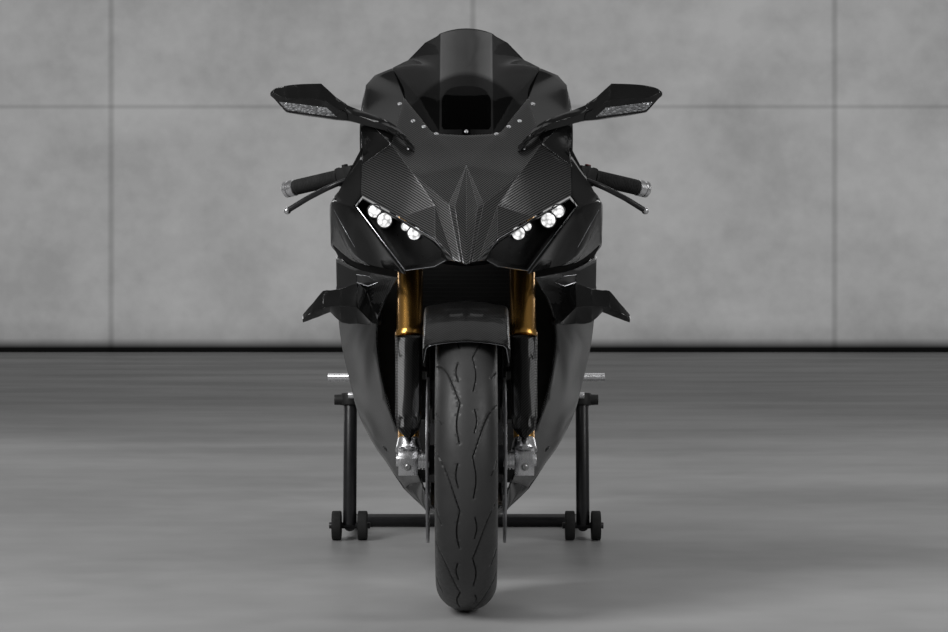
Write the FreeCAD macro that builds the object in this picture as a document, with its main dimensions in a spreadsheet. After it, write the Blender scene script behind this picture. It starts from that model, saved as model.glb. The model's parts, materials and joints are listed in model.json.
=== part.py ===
import FreeCAD, Part
import Sketcher
import math
import os
from types import SimpleNamespace

# A fully faired sport bike that stands on its front wheel and on a rear paddock stand.
# Millimetres, +Z up. The bike faces -Y, so +X is the rider's left hand side.
# The origin is on the floor under the middle of the overall length.

Vector = FreeCAD.Vector
Rotation = FreeCAD.Rotation
Placement = FreeCAD.Placement
X_AXIS, Y_AXIS, Z_AXIS = Vector(1, 0, 0), Vector(0, 1, 0), Vector(0, 0, 1)

doc = FreeCAD.newDocument("sport_bike")
sheet = doc.addObject("Spreadsheet::Sheet", "sizes")

# alias, value, meaning
SIZES = [
    ("wheelbase", 1450, "front axle to rear axle"),
    ("front_axle_y", -743, "front axle from the origin"),
    ("rake_deg", 24.5, "steering axis from the vertical"),
    ("trail", 100, "steering axis at the floor ahead of the front axle"),
    ("front_tyre_r", 300, "front tyre radius"),
    ("front_tyre_w", 122, "front tyre width"),
    ("rear_tyre_r", 336, "rear tyre radius"),
    ("rear_tyre_w", 200, "rear tyre width"),
    ("rear_lift", 40, "rear tyre above the floor on the stand"),
    ("bead_r", 216, "radius of both tyre beads"),
    ("tyre_wall", 9, "thickness of the tyre carcass"),
    ("front_rim_w", 92, "front rim width at the beads"),
    ("rear_rim_w", 158, "rear rim width at the beads"),
    ("rim_wall", 6, "rim barrel thickness"),
    ("hub_r", 30, "wheel hub radius"),
    ("spoke_w", 22, "wheel spoke width at the hub"),
    ("spoke_depth", 30, "wheel spoke depth across the wheel"),
    ("front_disc_r", 165, "front brake disc radius"),
    ("front_disc_gap", 148, "clear space between the front discs"),
    ("rear_disc_r", 122, "rear brake disc radius"),
    ("disc_wall", 5, "brake disc thickness"),
    ("axle_r", 12.5, "front axle radius"),
    ("axle_bore_r", 9, "bore in both ends of both axles"),
    ("axle_bore_len", 44, "length of the wide bore at an axle's end"),
    ("rear_axle_r", 14, "rear axle radius"),
    ("axle_play", 0.05, "running clearance of a hub on its axle"),
    ("fork_x", 116, "fork leg from the middle"),
    ("slider_r", 21.5, "fork slider radius"),
    ("fork_tube_r", 27, "fork outer tube radius"),
    ("fork_top_z", 965, "top of the fork tubes"),
    ("fork_seal_z", 552, "lower end of the fork outer tubes"),
    ("upper_clamp_z", 940, "upper triple clamp"),
    ("lower_clamp_z", 735, "lower triple clamp"),
    ("clamp_depth", 28, "triple clamp thickness"),
    ("stem_r", 16, "steering stem radius"),
    ("head_r", 33, "steering head radius"),
    ("foot_w", 38, "axle clamp width"),
    ("bar_end_x", 394, "tip of the handlebar from the middle"),
    ("bar_end_d", 455, "tip of the handlebar behind the front axle"),
    ("bar_end_z", 857, "tip of the handlebar above the floor"),
    ("bar_root_z", 918, "handlebar at its fork clamp"),
    ("bar_r", 11, "handlebar tube radius"),
    ("grip_r", 17, "grip radius"),
    ("grip_len", 122, "grip length"),
    ("bar_cap_r", 18, "bar end radius"),
    ("bar_cap_len", 27, "bar end length"),
    ("lever_r", 6, "lever thickness, as a radius"),
    ("lever_ball_r", 8, "lever ball radius"),
    ("panel", 4, "body panel thickness"),
    ("panel_gap", 0.8, "gap between neighbouring body panels"),
    ("screen_wall", 4, "windscreen thickness"),
    ("fender_gap", 14, "mudguard inner face above the tyre"),
    ("fender_wall", 4, "mudguard thickness"),
    ("tank_top_z", 965, "top of the tank"),
    ("seat_z", 845, "top of the rider's seat"),
    ("tail_end_d", 1735, "end of the tail behind the front axle"),
    ("pivot_d", 905, "swingarm pivot behind the front axle"),
    ("pivot_z", 385, "swingarm pivot above the floor"),
    ("peg_tip_x", 332, "foot-peg tip from the middle"),
    ("peg_r", 10, "foot-peg radius"),
    ("peg_d", 1000, "foot-peg behind the front axle"),
    ("peg_z", 427, "foot-peg above the floor"),
    ("chain_x", 116, "chain line from the middle"),
    ("chain_pitch", 15.875, "chain pitch"),
    ("rear_teeth", 41, "teeth of the rear sprocket"),
    ("drive_teeth", 16, "teeth of the drive sprocket"),
    ("stand_x", 296, "stand upright from the middle"),
    ("stand_tube_r", 17, "stand tube radius"),
    ("stand_top_drop", 6, "top of the stand uprights below the bobbins"),
    ("stand_roller_ahead", 42, "stand rollers ahead of the bobbins"),
    ("stand_end_behind", 302, "stand cross tube behind the bobbins"),
    ("roller_r", 37, "stand roller radius"),
    ("roller_w", 24, "stand roller width"),
    ("bobbin_ahead", 62, "swingarm bobbin ahead of the rear axle"),
    ("bobbin_drop", 4, "swingarm bobbin below the rear axle"),
    ("bobbin_r", 9, "swingarm bobbin radius"),
]
for row, (alias, value, meaning) in enumerate(SIZES, 1):
    sheet.set(f"A{row}", alias)
    sheet.set(f"B{row}", str(value))
    sheet.set(f"C{row}", meaning)
    sheet.setAlias(f"B{row}", alias)
doc.recompute()
size = SimpleNamespace(**{alias: float(sheet.get(alias)) for alias, _, _ in SIZES})

RAKE = math.radians(size.rake_deg)
REAR_AXLE_Z = size.rear_tyre_r + size.rear_lift
REAR_AXLE_D = size.wheelbase
PIECES = []


# Helpers

def at(x, d, z):
    """A point x from the middle plane, d behind the front axle and z above the floor."""
    return Vector(x, size.front_axle_y + d, z)


def keep(obj, label):
    obj.Label = label
    PIECES.append(obj)
    return obj


def feature(label, shape):
    """A sub-part whose shape is worked out below."""
    obj = doc.addObject("Part::Feature", label)
    obj.Shape = shape
    return keep(obj, label)


def mirrored(shape):
    return shape.mirror(Vector(0, 0, 0), X_AXIS)


def both_sides(shape):
    """The shape and its mirror image as solids that don't touch."""
    return Part.makeCompound([*shape.Solids, *mirrored(shape).Solids])


def fuse(*shapes):
    return shapes[0].multiFuse(list(shapes[1:])).removeSplitter()


def rod(a, b, radius, end_radius=None):
    """A round bar or cone from a to b."""
    along = b - a
    if end_radius is None or abs(end_radius - radius) < 1e-6:
        return Part.makeCylinder(radius, along.Length, a, along)
    return Part.makeCone(radius, end_radius, along.Length, a, along)


def hose(a, b, outer, inner):
    """A round tube from a to b."""
    return rod(a, b, outer).cut(rod(a, b, inner))


def block(centre, x, y, z, tilt=0):
    """A box about its centre, tilted back about X by degrees."""
    box = Part.makeBox(x, y, z, Vector(-x / 2, -y / 2, -z / 2))
    box.Placement = Placement(centre, Rotation(X_AXIS, -tilt))
    return box


def bent_path(points, bend):
    """Straight runs joined by tangent arcs of one bend radius."""
    edges, start = [], points[0]
    for before, corner, after in zip(points, points[1:], points[2:]):
        back, ahead = (before - corner).normalize(), (after - corner).normalize()
        half = back.getAngle(ahead) / 2
        reach = bend / math.tan(half)
        middle = (back + ahead).normalize() * (bend / math.sin(half) - bend)
        first, last = corner + back * reach, corner + ahead * reach
        edges.append(Part.LineSegment(start, first).toShape())
        edges.append(Part.Arc(first, corner + middle, last).toShape())
        start = last
    edges.append(Part.LineSegment(start, points[-1]).toShape())
    return Part.Wire(edges)


def pipe(points, radius, bend):
    """A round bar swept along a bent path."""
    path = bent_path(points, bend)
    ring = Part.Wire(Part.makeCircle(radius, points[0], points[1] - points[0]))
    return path.makePipeShell([ring], True, True)


def prism(outline, thickness, direction):
    """A flat outline pulled along a direction by a thickness."""
    face = Part.Face(Part.makePolygon([*outline, outline[0]]))
    return face.extrude(Vector(direction).normalize() * thickness)


def loft(outlines, ruled=True):
    """A solid through closed outlines, each a list of points or a wire."""
    wires = [o if isinstance(o, Part.Wire) else Part.makePolygon([*o, o[0]]) for o in outlines]
    return Part.makeLoft(wires, True, ruled)


def lathe(profile, centre, axis):
    """A ring turned about an axis: profile pairs are (along the axis, radius)."""
    side = Z_AXIS if abs(axis.z) < 0.9 else X_AXIS
    side = (side - axis * side.dot(axis)).normalize()
    points = [centre + axis * along + side * radius for along, radius in profile]
    return Part.Face(Part.makePolygon([*points, points[0]])).revolve(centre, axis, 360)


def faceted(points, triangles):
    """A solid inside flat triangles, given as places in the list of points."""
    shell = Part.Shape()
    shell.makeShapeFromMesh((points, triangles), 0.01)
    solid = Part.makeSolid(shell)
    if solid.Volume < 0:
        solid.reverse()
    return solid


def ring_of_flats(profile, centre, steps):
    """A ring about an axle in flat steps: profile pairs are (along the axle, radius at mid step)."""
    points, triangles = [], []
    across = len(profile)
    for i in range(steps):
        angle = 2 * math.pi * (i + 0.5) / steps
        out = Vector(0, math.sin(angle), math.cos(angle)) / math.cos(math.pi / steps)
        points += [centre + X_AXIS * along + out * radius for along, radius in profile]
        here, there = i * across, (i + 1) % steps * across
        for j in range(across):
            k = (j + 1) % across
            triangles += [(here + j, here + k, there + k), (here + j, there + k, there + j)]
    return faceted(points, triangles).removeSplitter()


def skin(points, faces, wall, mirror=True):
    """A panel of one wall thickness behind a net of outer points, with half a panel gap at its edge.

    points: name to (x, d, z). faces: corner names, counter-clockwise from outside.
    With mirror, points at x = 0 join the panel to its mirror image.
    """
    places, polygons = {}, []
    for name, place in points.items():
        places[name] = at(*place)
    for face in faces:
        polygons.append(tuple(face))
    if mirror:
        other = {n: n if p[0] == 0 else n + "'" for n, p in points.items()}
        for name, place in points.items():
            places[other[name]] = at(-place[0], place[1], place[2])
        polygons += [(other[f[0]], *[other[n] for n in reversed(f[1:])]) for f in polygons[:]]
    triangles = [(f[0], b, c) for f in polygons for b, c in zip(f[1:], f[2:])]
    names = list(dict.fromkeys(n for t in triangles for n in t))
    normals = {n: Vector() for n in names}
    sides = {}
    for triangle in triangles:
        a, b, c = (places[n] for n in triangle)
        turn = (b - a).cross(c - a)
        for i, n in enumerate(triangle):
            normals[n] += turn
            sides[(n, triangle[(i + 1) % 3])] = turn.normalize()
    rim = {pair: turn for pair, turn in sides.items() if (pair[1], pair[0]) not in sides}
    inward = {n: Vector() for n in names}
    for (a, b), turn in rim.items():
        step = turn.cross(places[b] - places[a]).normalize()
        inward[a] += step
        inward[b] += step
    outer = []
    for n in names:
        pull = inward[n]
        share = 2 / max(pull.Length ** 2, 1) if pull.Length else 0
        outer.append(places[n] + pull * share * size.panel_gap / 2)
    inner = [p - normals[n].normalize() * wall for p, n in zip(outer, names)]
    index = {n: i for i, n in enumerate(names)}
    shift = len(names)
    facets = [tuple(index[n] for n in t) for t in triangles]
    facets += [tuple(index[n] + shift for n in reversed(t)) for t in triangles]
    for a, b in rim:
        i, j = index[a], index[b]
        facets += [(j, i, i + shift), (j, i + shift, j + shift)]
    return faceted(outer + inner, facets)


def grid_faces(rows, columns, names):
    """Faces between neighbouring rows and columns of a net; names gives a corner's name."""
    faces = []
    for r in range(rows - 1):
        for c in range(columns - 1):
            faces.append((names(r, c), names(r + 1, c), names(r + 1, c + 1), names(r, c + 1)))
    return faces


def grid_skin(rows, wall, mirror=False):
    """A panel through rows of outer points that run from the top down and from the front back."""
    points = {(r, c): place for r, row in enumerate(rows) for c, place in enumerate(row)}
    named = {f"{r}/{c}": place for (r, c), place in points.items()}
    faces = grid_faces(len(rows), len(rows[0]), lambda r, c: f"{r}/{c}")
    return skin(named, faces, wall, mirror)


def largest(shape):
    """The biggest of the pieces that a cut leaves."""
    return max(shape.Solids, key=lambda solid: solid.Volume)


FORK_UP = Vector(0, math.sin(RAKE), math.cos(RAKE))
FORK_AHEAD = Vector(0, -math.cos(RAKE), math.sin(RAKE))
FRONT_AXLE = at(0, 0, size.front_tyre_r)
REAR_AXLE = at(0, REAR_AXLE_D, REAR_AXLE_Z)


# Wheels

def tyre(centre, radius, width, bead_half):
    """A hollow tyre in flat steps: bead walls, then a round crown."""
    crown_steps, turn_steps = 8, 56
    shoulder = math.radians(98)
    crown_r = width / 2
    crown_z = radius - crown_r * 0.92
    lift = (radius - crown_z) / crown_r
    angles = [shoulder * (2 * i / crown_steps - 1) for i in range(crown_steps + 1)]
    outer = [(crown_r * math.sin(a), crown_z + crown_r * lift * math.cos(a)) for a in angles]
    inner_r = crown_r - size.tyre_wall
    inner = [
        (inner_r * math.sin(a), crown_z + inner_r * lift * math.cos(a)) for a in angles[-2::-3]
    ]
    bead_in = bead_half - size.tyre_wall
    low, flange_top = size.bead_r + 0.3, size.bead_r + 8
    left = [(-bead_in, low), (-bead_half, low), (-bead_half, flange_top)]
    right = [(bead_half, flange_top), (bead_half, low), (bead_in, low)]
    return ring_of_flats([*left, *outer, *right, *inner], centre, turn_steps)


def rim(centre, bead_half, hub_half, bore_r):
    """A cast wheel: barrel with a drop centre, hub and five forked spokes."""
    spokes, fork_share, spread = 5, 0.55, math.radians(10)
    seat_r, lip = size.bead_r, 4.5
    barrel_r = seat_r - size.rim_wall
    well_r, well_half = seat_r - 16, bead_half * 0.45
    flange = bead_half + lip
    profile = [
        (-flange, seat_r + 6), (-bead_half - 0.5, seat_r + 6), (-bead_half - 0.5, seat_r),
        (-bead_half + 14, seat_r), (-well_half, well_r), (well_half, well_r),
        (bead_half - 14, seat_r), (bead_half + 0.5, seat_r), (bead_half + 0.5, seat_r + 6),
        (flange, seat_r + 6), (flange, barrel_r), (bead_half - 12, barrel_r),
        (well_half, well_r - size.rim_wall), (-well_half, well_r - size.rim_wall),
        (-bead_half + 12, barrel_r), (-flange, barrel_r),
    ]
    parts = [lathe(profile, centre, X_AXIS)]
    parts.append(rod(centre - X_AXIS * hub_half, centre + X_AXIS * hub_half, size.hub_r))
    rim_in = well_r - size.rim_wall / 2
    knot_r = size.hub_r + (rim_in - size.hub_r) * fork_share

    def section(angle, reach, width, depth):
        out = Vector(0, math.sin(angle), math.cos(angle))
        side = out.cross(X_AXIS) * (width / 2)
        deep = X_AXIS * (depth / 2)
        middle = centre + out * reach
        return [middle + side + deep, middle - side + deep, middle - side - deep, middle + side - deep]

    for i in range(spokes):
        angle = 2 * math.pi * i / spokes
        root = section(angle, size.hub_r - 6, size.spoke_w * 1.5, size.spoke_depth)
        knot = section(angle, knot_r, size.spoke_w * 0.9, size.spoke_depth * 0.8)
        parts.append(loft([root, knot]))
        for way in (-1, 1):
            start = section(angle + way * 0.03, knot_r - 8, size.spoke_w * 0.6, size.spoke_depth * 0.8)
            end = section(angle + way * spread, rim_in, size.spoke_w * 0.6, size.spoke_depth * 0.6)
            parts.append(loft([start, end]))
    wheel = fuse(*parts)
    drill = rod(centre - X_AXIS * hub_half * 2, centre + X_AXIS * hub_half * 2, bore_r)
    return wheel.cut(drill)


def disc(label, x, centre, radius, bore_name, radius_name):
    """A drilled brake disc on a slotted carrier, as a body of sketches and patterns."""
    body = doc.addObject("PartDesign::Body", label)
    plane = [f for f in body.Origin.OriginFeatures if f.Role == "YZ_Plane"][0]

    def sketch(name, circles):
        flat = body.newObject("Sketcher::SketchObject", f"{label}_{name}")
        flat.AttachmentSupport = [(plane, "")]
        flat.MapMode = "FlatFace"
        for y, expression in circles:
            ring = flat.addGeometry(Part.Circle(Vector(y, 0, 0), Z_AXIS, 10), False)
            if y == 0:
                flat.addConstraint(Sketcher.Constraint("Coincident", ring, 3, -1, 1))
            else:
                flat.addConstraint(Sketcher.Constraint("PointOnObject", ring, 3, -1))
                far = flat.addConstraint(Sketcher.Constraint("DistanceX", -1, 1, ring, 3, y))
                flat.setExpression(f"Constraints[{far}]", f"{radius_name} * {y / radius}")
            wide = flat.addConstraint(Sketcher.Constraint("Radius", ring, 10))
            flat.setExpression(f"Constraints[{wide}]", expression)
        return flat

    plate = body.newObject("PartDesign::Pad", f"{label}_plate")
    plate.Profile = sketch("outline", [(0, radius_name), (0, f"{bore_name} + 2")])
    plate.Midplane = True
    plate.setExpression("Length", "sizes.disc_wall")
    body.Tip = plate
    doc.recompute()
    holes = [("vent", 0.90, 3.4, 24), ("window", 0.47, radius * 0.11, 8)]
    for name, share, hole_r, count in holes:
        cut = body.newObject("PartDesign::Pocket", f"{label}_{name}")
        cut.Profile = sketch(name + "_hole", [(radius * share, f"{radius_name} * {hole_r / radius}")])
        cut.Type = "ThroughAll"
        cut.Midplane = True
        doc.recompute()
        ring = body.newObject("PartDesign::PolarPattern", f"{label}_{name}s")
        ring.Originals = [cut]
        ring.Axis = (cut.Profile[0], ["N_Axis"])
        ring.Angle = 360
        ring.Occurrences = count
        body.Tip = ring
        doc.recompute()
    body.Placement = Placement(centre + X_AXIS * x, Rotation())
    return body


front_hub_half = size.front_disc_gap / 2
feature("front_tyre", tyre(FRONT_AXLE, size.front_tyre_r, size.front_tyre_w, size.front_rim_w / 2))
front_bore = size.axle_r + size.axle_play
feature("front_rim", rim(FRONT_AXLE, size.front_rim_w / 2, front_hub_half, front_bore))
disc_x = front_hub_half + size.disc_wall / 2 + 0.02
for side, way in (("left", 1), ("right", -1)):
    keep(
        disc(f"front_disc_{side}", way * disc_x, FRONT_AXLE, size.front_disc_r,
             "sizes.axle_r", "sizes.front_disc_r"),
        f"front_disc_{side}",
    )

# The chain side of the rear hub carries the sprocket, the other side the disc.
rear_hub_half = 74
sprocket_r = size.chain_pitch / (2 * math.sin(math.pi / size.rear_teeth))
drive_r = size.chain_pitch / (2 * math.sin(math.pi / size.drive_teeth))
CHAIN_TALL, CHAIN_WAIST, CHAIN_WIDE = 7, 5, 14
DRIVE = at(size.chain_x, 835, 400)
HUB_DRIVE = REAR_AXLE + X_AXIS * size.chain_x
rear_bore = size.rear_axle_r + size.axle_play
feature("rear_tyre", tyre(REAR_AXLE, size.rear_tyre_r, size.rear_tyre_w, size.rear_rim_w / 2))
feature("rear_rim", rim(REAR_AXLE, size.rear_rim_w / 2, rear_hub_half, rear_bore))
rear_disc_x = -(rear_hub_half + size.disc_wall / 2 + 0.02)
keep(
    disc("rear_disc", rear_disc_x, REAR_AXLE, size.rear_disc_r, "sizes.rear_axle_r",
         "sizes.rear_disc_r"),
    "rear_disc",
)


def sprocket(centre, teeth, root_r, tip_r, bore_r, tip_angle=0):
    """A toothed plate; one tooth's tip points at the angle."""
    points = []
    for i in range(teeth):
        for share, reach in ((-0.42, root_r), (-0.25, root_r), (-0.08, tip_r), (0.08, tip_r), (0.25, root_r)):
            angle = tip_angle + 2 * math.pi * (i + share) / teeth
            points.append(centre + Vector(-3, reach * math.cos(angle), reach * math.sin(angle)))
    return prism(points, 6, X_AXIS).cut(rod(centre - X_AXIS * 9, centre + X_AXIS * 9, bore_r))


carrier = rod(REAR_AXLE + X_AXIS * (rear_hub_half + 0.02), HUB_DRIVE - X_AXIS * 2, 44)
rear_tip_r = sprocket_r - CHAIN_TALL - 0.5
sprocket_plate = sprocket(HUB_DRIVE, int(size.rear_teeth), rear_tip_r - 6, rear_tip_r, rear_bore + 2)
for i in range(8):
    angle = 2 * math.pi * i / 8
    hole_at = HUB_DRIVE + Vector(0, math.cos(angle), math.sin(angle)) * sprocket_r * 0.66
    sprocket_plate = sprocket_plate.cut(rod(hole_at - X_AXIS * 9, hole_at + X_AXIS * 9, sprocket_r * 0.16))
rear_sprocket = fuse(carrier, sprocket_plate).cut(
    rod(REAR_AXLE, REAR_AXLE + X_AXIS * size.chain_x * 2, rear_bore + 2)
)
feature("rear_sprocket", rear_sprocket)


# Fork, axle, brakes and handlebars, which turn together

FORK_BACK = FORK_AHEAD * -1
STEM_BACK = size.front_tyre_r * math.sin(RAKE) - size.trail * math.cos(RAKE)


def leg_point(along, back=0, x=size.fork_x):
    """A place on the left fork leg, measured from the axle along the leg and behind it."""
    return FRONT_AXLE + X_AXIS * x + FORK_UP * along + FORK_BACK * back


def up_leg(z):
    """The length along the fork leg at height z."""
    return (z - size.front_tyre_r) / math.cos(RAKE)


def stepped_axle(centre, half, radius):
    """A hollow axle: wide bores at both ends and a narrower one between them."""
    tip = X_AXIS * half
    step = X_AXIS * (half - size.axle_bore_len)
    axle = hose(centre - tip, centre + tip, radius, size.axle_bore_r - 1.5)
    axle = axle.cut(rod(centre - tip, centre - step, size.axle_bore_r))
    return axle.cut(rod(centre + step, centre + tip, size.axle_bore_r))


feature("front_axle", stepped_axle(FRONT_AXLE, size.fork_x + 24, size.axle_r))

seal, tube_top = up_leg(size.fork_seal_z), up_leg(size.fork_top_z)
outer_tube = hose(leg_point(seal), leg_point(tube_top), size.fork_tube_r, size.slider_r + 0.3)
seal_ring = hose(leg_point(seal - 12), leg_point(seal), size.fork_tube_r + 3, size.slider_r + 0.3)
top_cap = rod(leg_point(tube_top), leg_point(tube_top + 10), size.fork_tube_r - 4)
feature("fork_outer_tubes", both_sides(fuse(outer_tube, seal_ring, top_cap)))

CALIPER_LOW, CALIPER_HIGH, CALIPER_FRONT, CALIPER_BACK = 100, 188, 34, 88
slider = rod(leg_point(0), leg_point(seal + 150), size.slider_r)
foot = rod(FRONT_AXLE + X_AXIS * (size.fork_x - size.foot_w / 2),
           FRONT_AXLE + X_AXIS * (size.fork_x + size.foot_w / 2), 27)
pinch = block(FRONT_AXLE + X_AXIS * size.fork_x + Vector(0, -6, -12), size.foot_w, 44, 34)
neck = rod(leg_point(20), leg_point(44), size.slider_r + 5, size.slider_r + 0.5)
lugs = [
    rod(leg_point(along, 0, size.fork_x - 14), leg_point(along, CALIPER_FRONT, size.fork_x - 14), 9)
    for along in (CALIPER_LOW + 14, CALIPER_HIGH - 14)
]
foot_bore = rod(FRONT_AXLE, FRONT_AXLE + X_AXIS * 400, size.axle_r + 0.02)
pinch_slot = block(FRONT_AXLE + X_AXIS * size.fork_x + Vector(0, -4, -22), size.foot_w + 4, 4, 44)
leg = fuse(slider, foot, pinch, neck, *lugs).cut(foot_bore).cut(pinch_slot)
feature("fork_sliders", both_sides(leg))


def caliper(back, low, high, front, inner_x, outer_x, gap, disc_x, disc_r, point, hub):
    """A caliper block with a bridge over the disc and stepped piston bosses."""
    corners = [(low, front), (low + 12, back), (high - 12, back), (high, front + 10), (high, front)]
    outline = [point(along, behind, inner_x) for along, behind in corners]
    body = prism(outline, outer_x - inner_x, X_AXIS)
    mid = (low + high) / 2
    for along in (mid - 20, mid + 20):
        boss = point(along, (front + back) / 2 - 3, outer_x - 1)
        body = body.fuse(rod(boss, boss + X_AXIS * 5, 15))
    slot_in, slot_out = disc_x - size.disc_wall / 2 - gap, disc_x + size.disc_wall / 2 + gap
    slot = rod(hub + X_AXIS * slot_in, hub + X_AXIS * slot_out, disc_r + gap)
    return body.cut(slot).removeSplitter()


feature("front_calipers", both_sides(caliper(
    CALIPER_BACK, CALIPER_LOW, CALIPER_HIGH, CALIPER_FRONT,
    size.front_rim_w / 2 + 10, size.fork_x - 12, 5, disc_x, size.front_disc_r,
    leg_point, FRONT_AXLE)))

# Brake cooling ducts: along the leg, half width in, half width out, depth ahead of the leg, and how
# far the front edge lies lower than the back edge, which opens the mouth forward.
DUCT_BACK = size.slider_r + 2
DUCT_WALL = 2.5
DUCT_SECTIONS = [
    (45, 10, 8, 16, 12), (58, 22, 22, 28, 12), (84, 26, 26, 32, 4), (200, 26, 27, 36, 10),
    (262, 27, 28, 42, 24),
]
MOUTH_SECTIONS = [(205, 23, 24, 30, 10), (266, 24.5, 25.5, 39.5, 24)]


def duct_outline(along, inside, outside, depth, slant):
    """One section of a duct, flat against the leg and round in front."""
    rounds = [(1, 0), (1, 0.5), (0.8, 0.86), (0.3, 1)]
    left = [(size.fork_x + outside * across, ahead) for across, ahead in rounds]
    right = [(size.fork_x - inside * across, ahead) for across, ahead in reversed(rounds)]
    return [leg_point(along - slant * ahead, -DUCT_BACK - depth * ahead, x) for x, ahead in left + right]


mouth_back = Vector(FORK_BACK) * -DUCT_WALL
mouth = loft([[p + mouth_back for p in duct_outline(*row)] for row in MOUTH_SECTIONS])
duct = loft([duct_outline(*row) for row in DUCT_SECTIONS]).cut(mouth)
SADDLE_HALF, SADDLE_TALL = 9, 16
for low in (92, 184):
    corners = ((low, -DUCT_BACK - 1), (low, -DUCT_BACK + 8),
               (low + SADDLE_TALL, -DUCT_BACK + 8), (low + SADDLE_TALL, -DUCT_BACK - 1))
    side = [leg_point(along, back, size.fork_x - SADDLE_HALF) for along, back in corners]
    duct = duct.fuse(prism(side, SADDLE_HALF * 2, X_AXIS))
duct = duct.cut(rod(leg_point(0), leg_point(seal), size.slider_r + 0.02))
feature("brake_ducts", both_sides(duct))

# Mudguard: half width and height of the arch above the axle.
FENDER_IN = size.front_tyre_r + size.fender_gap
fender_half = size.front_tyre_w / 2 + 19
fender_arch = [(1.0, -44), (1.0, -2), (0.9, 10), (0.45, 17), (0.0, 20)]


def arch(offset):
    right = [(half * (fender_half + offset), FENDER_IN + rise - 20 + offset) for half, rise in fender_arch]
    return right + [(-x, r) for x, r in right[-2::-1]]


def swept_arch(first, last):
    """The mudguard's arch swept about the axle, in degrees back from the vertical."""
    outline = arch(size.fender_wall) + arch(0)[::-1]
    points = [FRONT_AXLE + Vector(x, 0, r) for x, r in outline]
    face = Part.Face(Part.makePolygon([*points, points[0]]))
    face.rotate(FRONT_AXLE, X_AXIS, -first)
    return face.revolve(FRONT_AXLE, X_AXIS, first - last)


mudguard = swept_arch(-40, 62)
tab_in, tab_out = fender_half - 2, size.fork_x - size.slider_r - 0.3
for way in (-1, 1):
    tab = [leg_point(along, behind, tab_in) for along, behind in
           ((196, -14), (196, 12), (258, 18), (258, -22))]
    arm = prism(tab, tab_out - tab_in, X_AXIS)
    mudguard = mudguard.fuse(arm if way > 0 else mirrored(arm))
feature("front_mudguard", mudguard.removeSplitter())


def clamp_plate(z, thickness, half_width, nose, label_r):
    """A fork clamp with both tube bores, seen square to the legs."""
    tube_x, stem = size.fork_x, -STEM_BACK
    half = [
        (tube_x + half_width, 14), (tube_x + half_width, -16), (tube_x - 12, -half_width - 4),
        (label_r + 10, stem - label_r), (label_r * 0.4, stem - label_r - 9),
    ]
    outline = half + [(-x, a) for x, a in reversed(half)] + [(-tube_x + 12, nose), (tube_x - 12, nose)]
    base = FRONT_AXLE + FORK_UP * (up_leg(z) - thickness / 2)
    plate = prism([base + X_AXIS * x + FORK_AHEAD * a for x, a in outline], thickness, FORK_UP)
    for way in (-1, 1):
        bore = base + X_AXIS * way * tube_x
        plate = plate.cut(rod(bore - FORK_UP * 5, bore + FORK_UP * (thickness + 5), size.fork_tube_r + 0.02))
    return plate


CLAMP_RIM = size.fork_tube_r + 11
upper = clamp_plate(size.upper_clamp_z, size.clamp_depth, CLAMP_RIM, 22, 30)
lower = clamp_plate(size.lower_clamp_z, size.clamp_depth * 1.3, CLAMP_RIM, 26, 30)
stem_low = FRONT_AXLE + FORK_BACK * STEM_BACK + FORK_UP * up_leg(size.lower_clamp_z)
stem_high = FRONT_AXLE + FORK_BACK * STEM_BACK + FORK_UP * up_leg(size.upper_clamp_z)
stem = rod(stem_low, stem_high + FORK_UP * 24, size.stem_r)
stem_nut = rod(stem_high + FORK_UP * 10, stem_high + FORK_UP * 22, 21)
feature("triple_clamps", fuse(upper, lower, stem, stem_nut))

BAR_ROOT = leg_point(up_leg(size.bar_root_z) - 6)
BAR_TIP = at(size.bar_end_x, size.bar_end_d, size.bar_end_z)
BAR_ALONG = (BAR_TIP - BAR_ROOT).normalize()
BAR_UP = BAR_ALONG.cross(Vector(0, -1, 0)).normalize() * -1
if BAR_UP.z < 0:
    BAR_UP = BAR_UP * -1
BAR_AHEAD = BAR_UP.cross(BAR_ALONG).normalize()
if BAR_AHEAD.y > 0:
    BAR_AHEAD = BAR_AHEAD * -1


def bar_point(inboard, ahead=0, up=0):
    """A place measured inboard from the handlebar's tip."""
    return BAR_TIP - BAR_ALONG * inboard + BAR_AHEAD * ahead + BAR_UP * up


ring = rod(BAR_ROOT - FORK_UP * 14, BAR_ROOT + FORK_UP * 14, size.fork_tube_r + 10)
bar = rod(BAR_ROOT, bar_point(size.bar_cap_len), size.bar_r)
ring_bore = rod(BAR_ROOT - FORK_UP * 30, BAR_ROOT + FORK_UP * 30, size.fork_tube_r + 0.02)
feature("clip_on_bars", both_sides(fuse(ring, bar).cut(ring_bore)))
grip_out = size.bar_cap_len + 0.3
grip_in = grip_out + size.grip_len
grip = hose(bar_point(grip_out), bar_point(grip_in), size.grip_r, size.bar_r + 0.02)
collar = hose(bar_point(grip_in - 5), bar_point(grip_in), size.grip_r + 4, size.bar_r + 0.02)
feature("grips", both_sides(fuse(grip, collar)))
cap = rod(bar_point(size.bar_cap_len), bar_point(0), size.bar_cap_r)
feature("bar_ends", both_sides(cap))


def bar_box(inboard, length, ahead, depth, up, height):
    """A box along the handlebar, placed from its tip."""
    corners = [
        bar_point(inboard, ahead + a * depth / 2, up + b * height / 2)
        for a, b in ((-1, -1), (1, -1), (1, 1), (-1, 1))
    ]
    return prism(corners, length, BAR_ALONG * -1)


switch_in = grip_in + 1
bar_bore = rod(bar_point(0), bar_point(grip_in + 150), size.bar_r + 0.02)
switch = bar_box(switch_in, 34, 2, 36, 0, 36).cut(bar_bore)
switch = fuse(switch, rod(bar_point(switch_in + 17, 4, 16), bar_point(switch_in + 17, 4, 22), 7))

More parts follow.
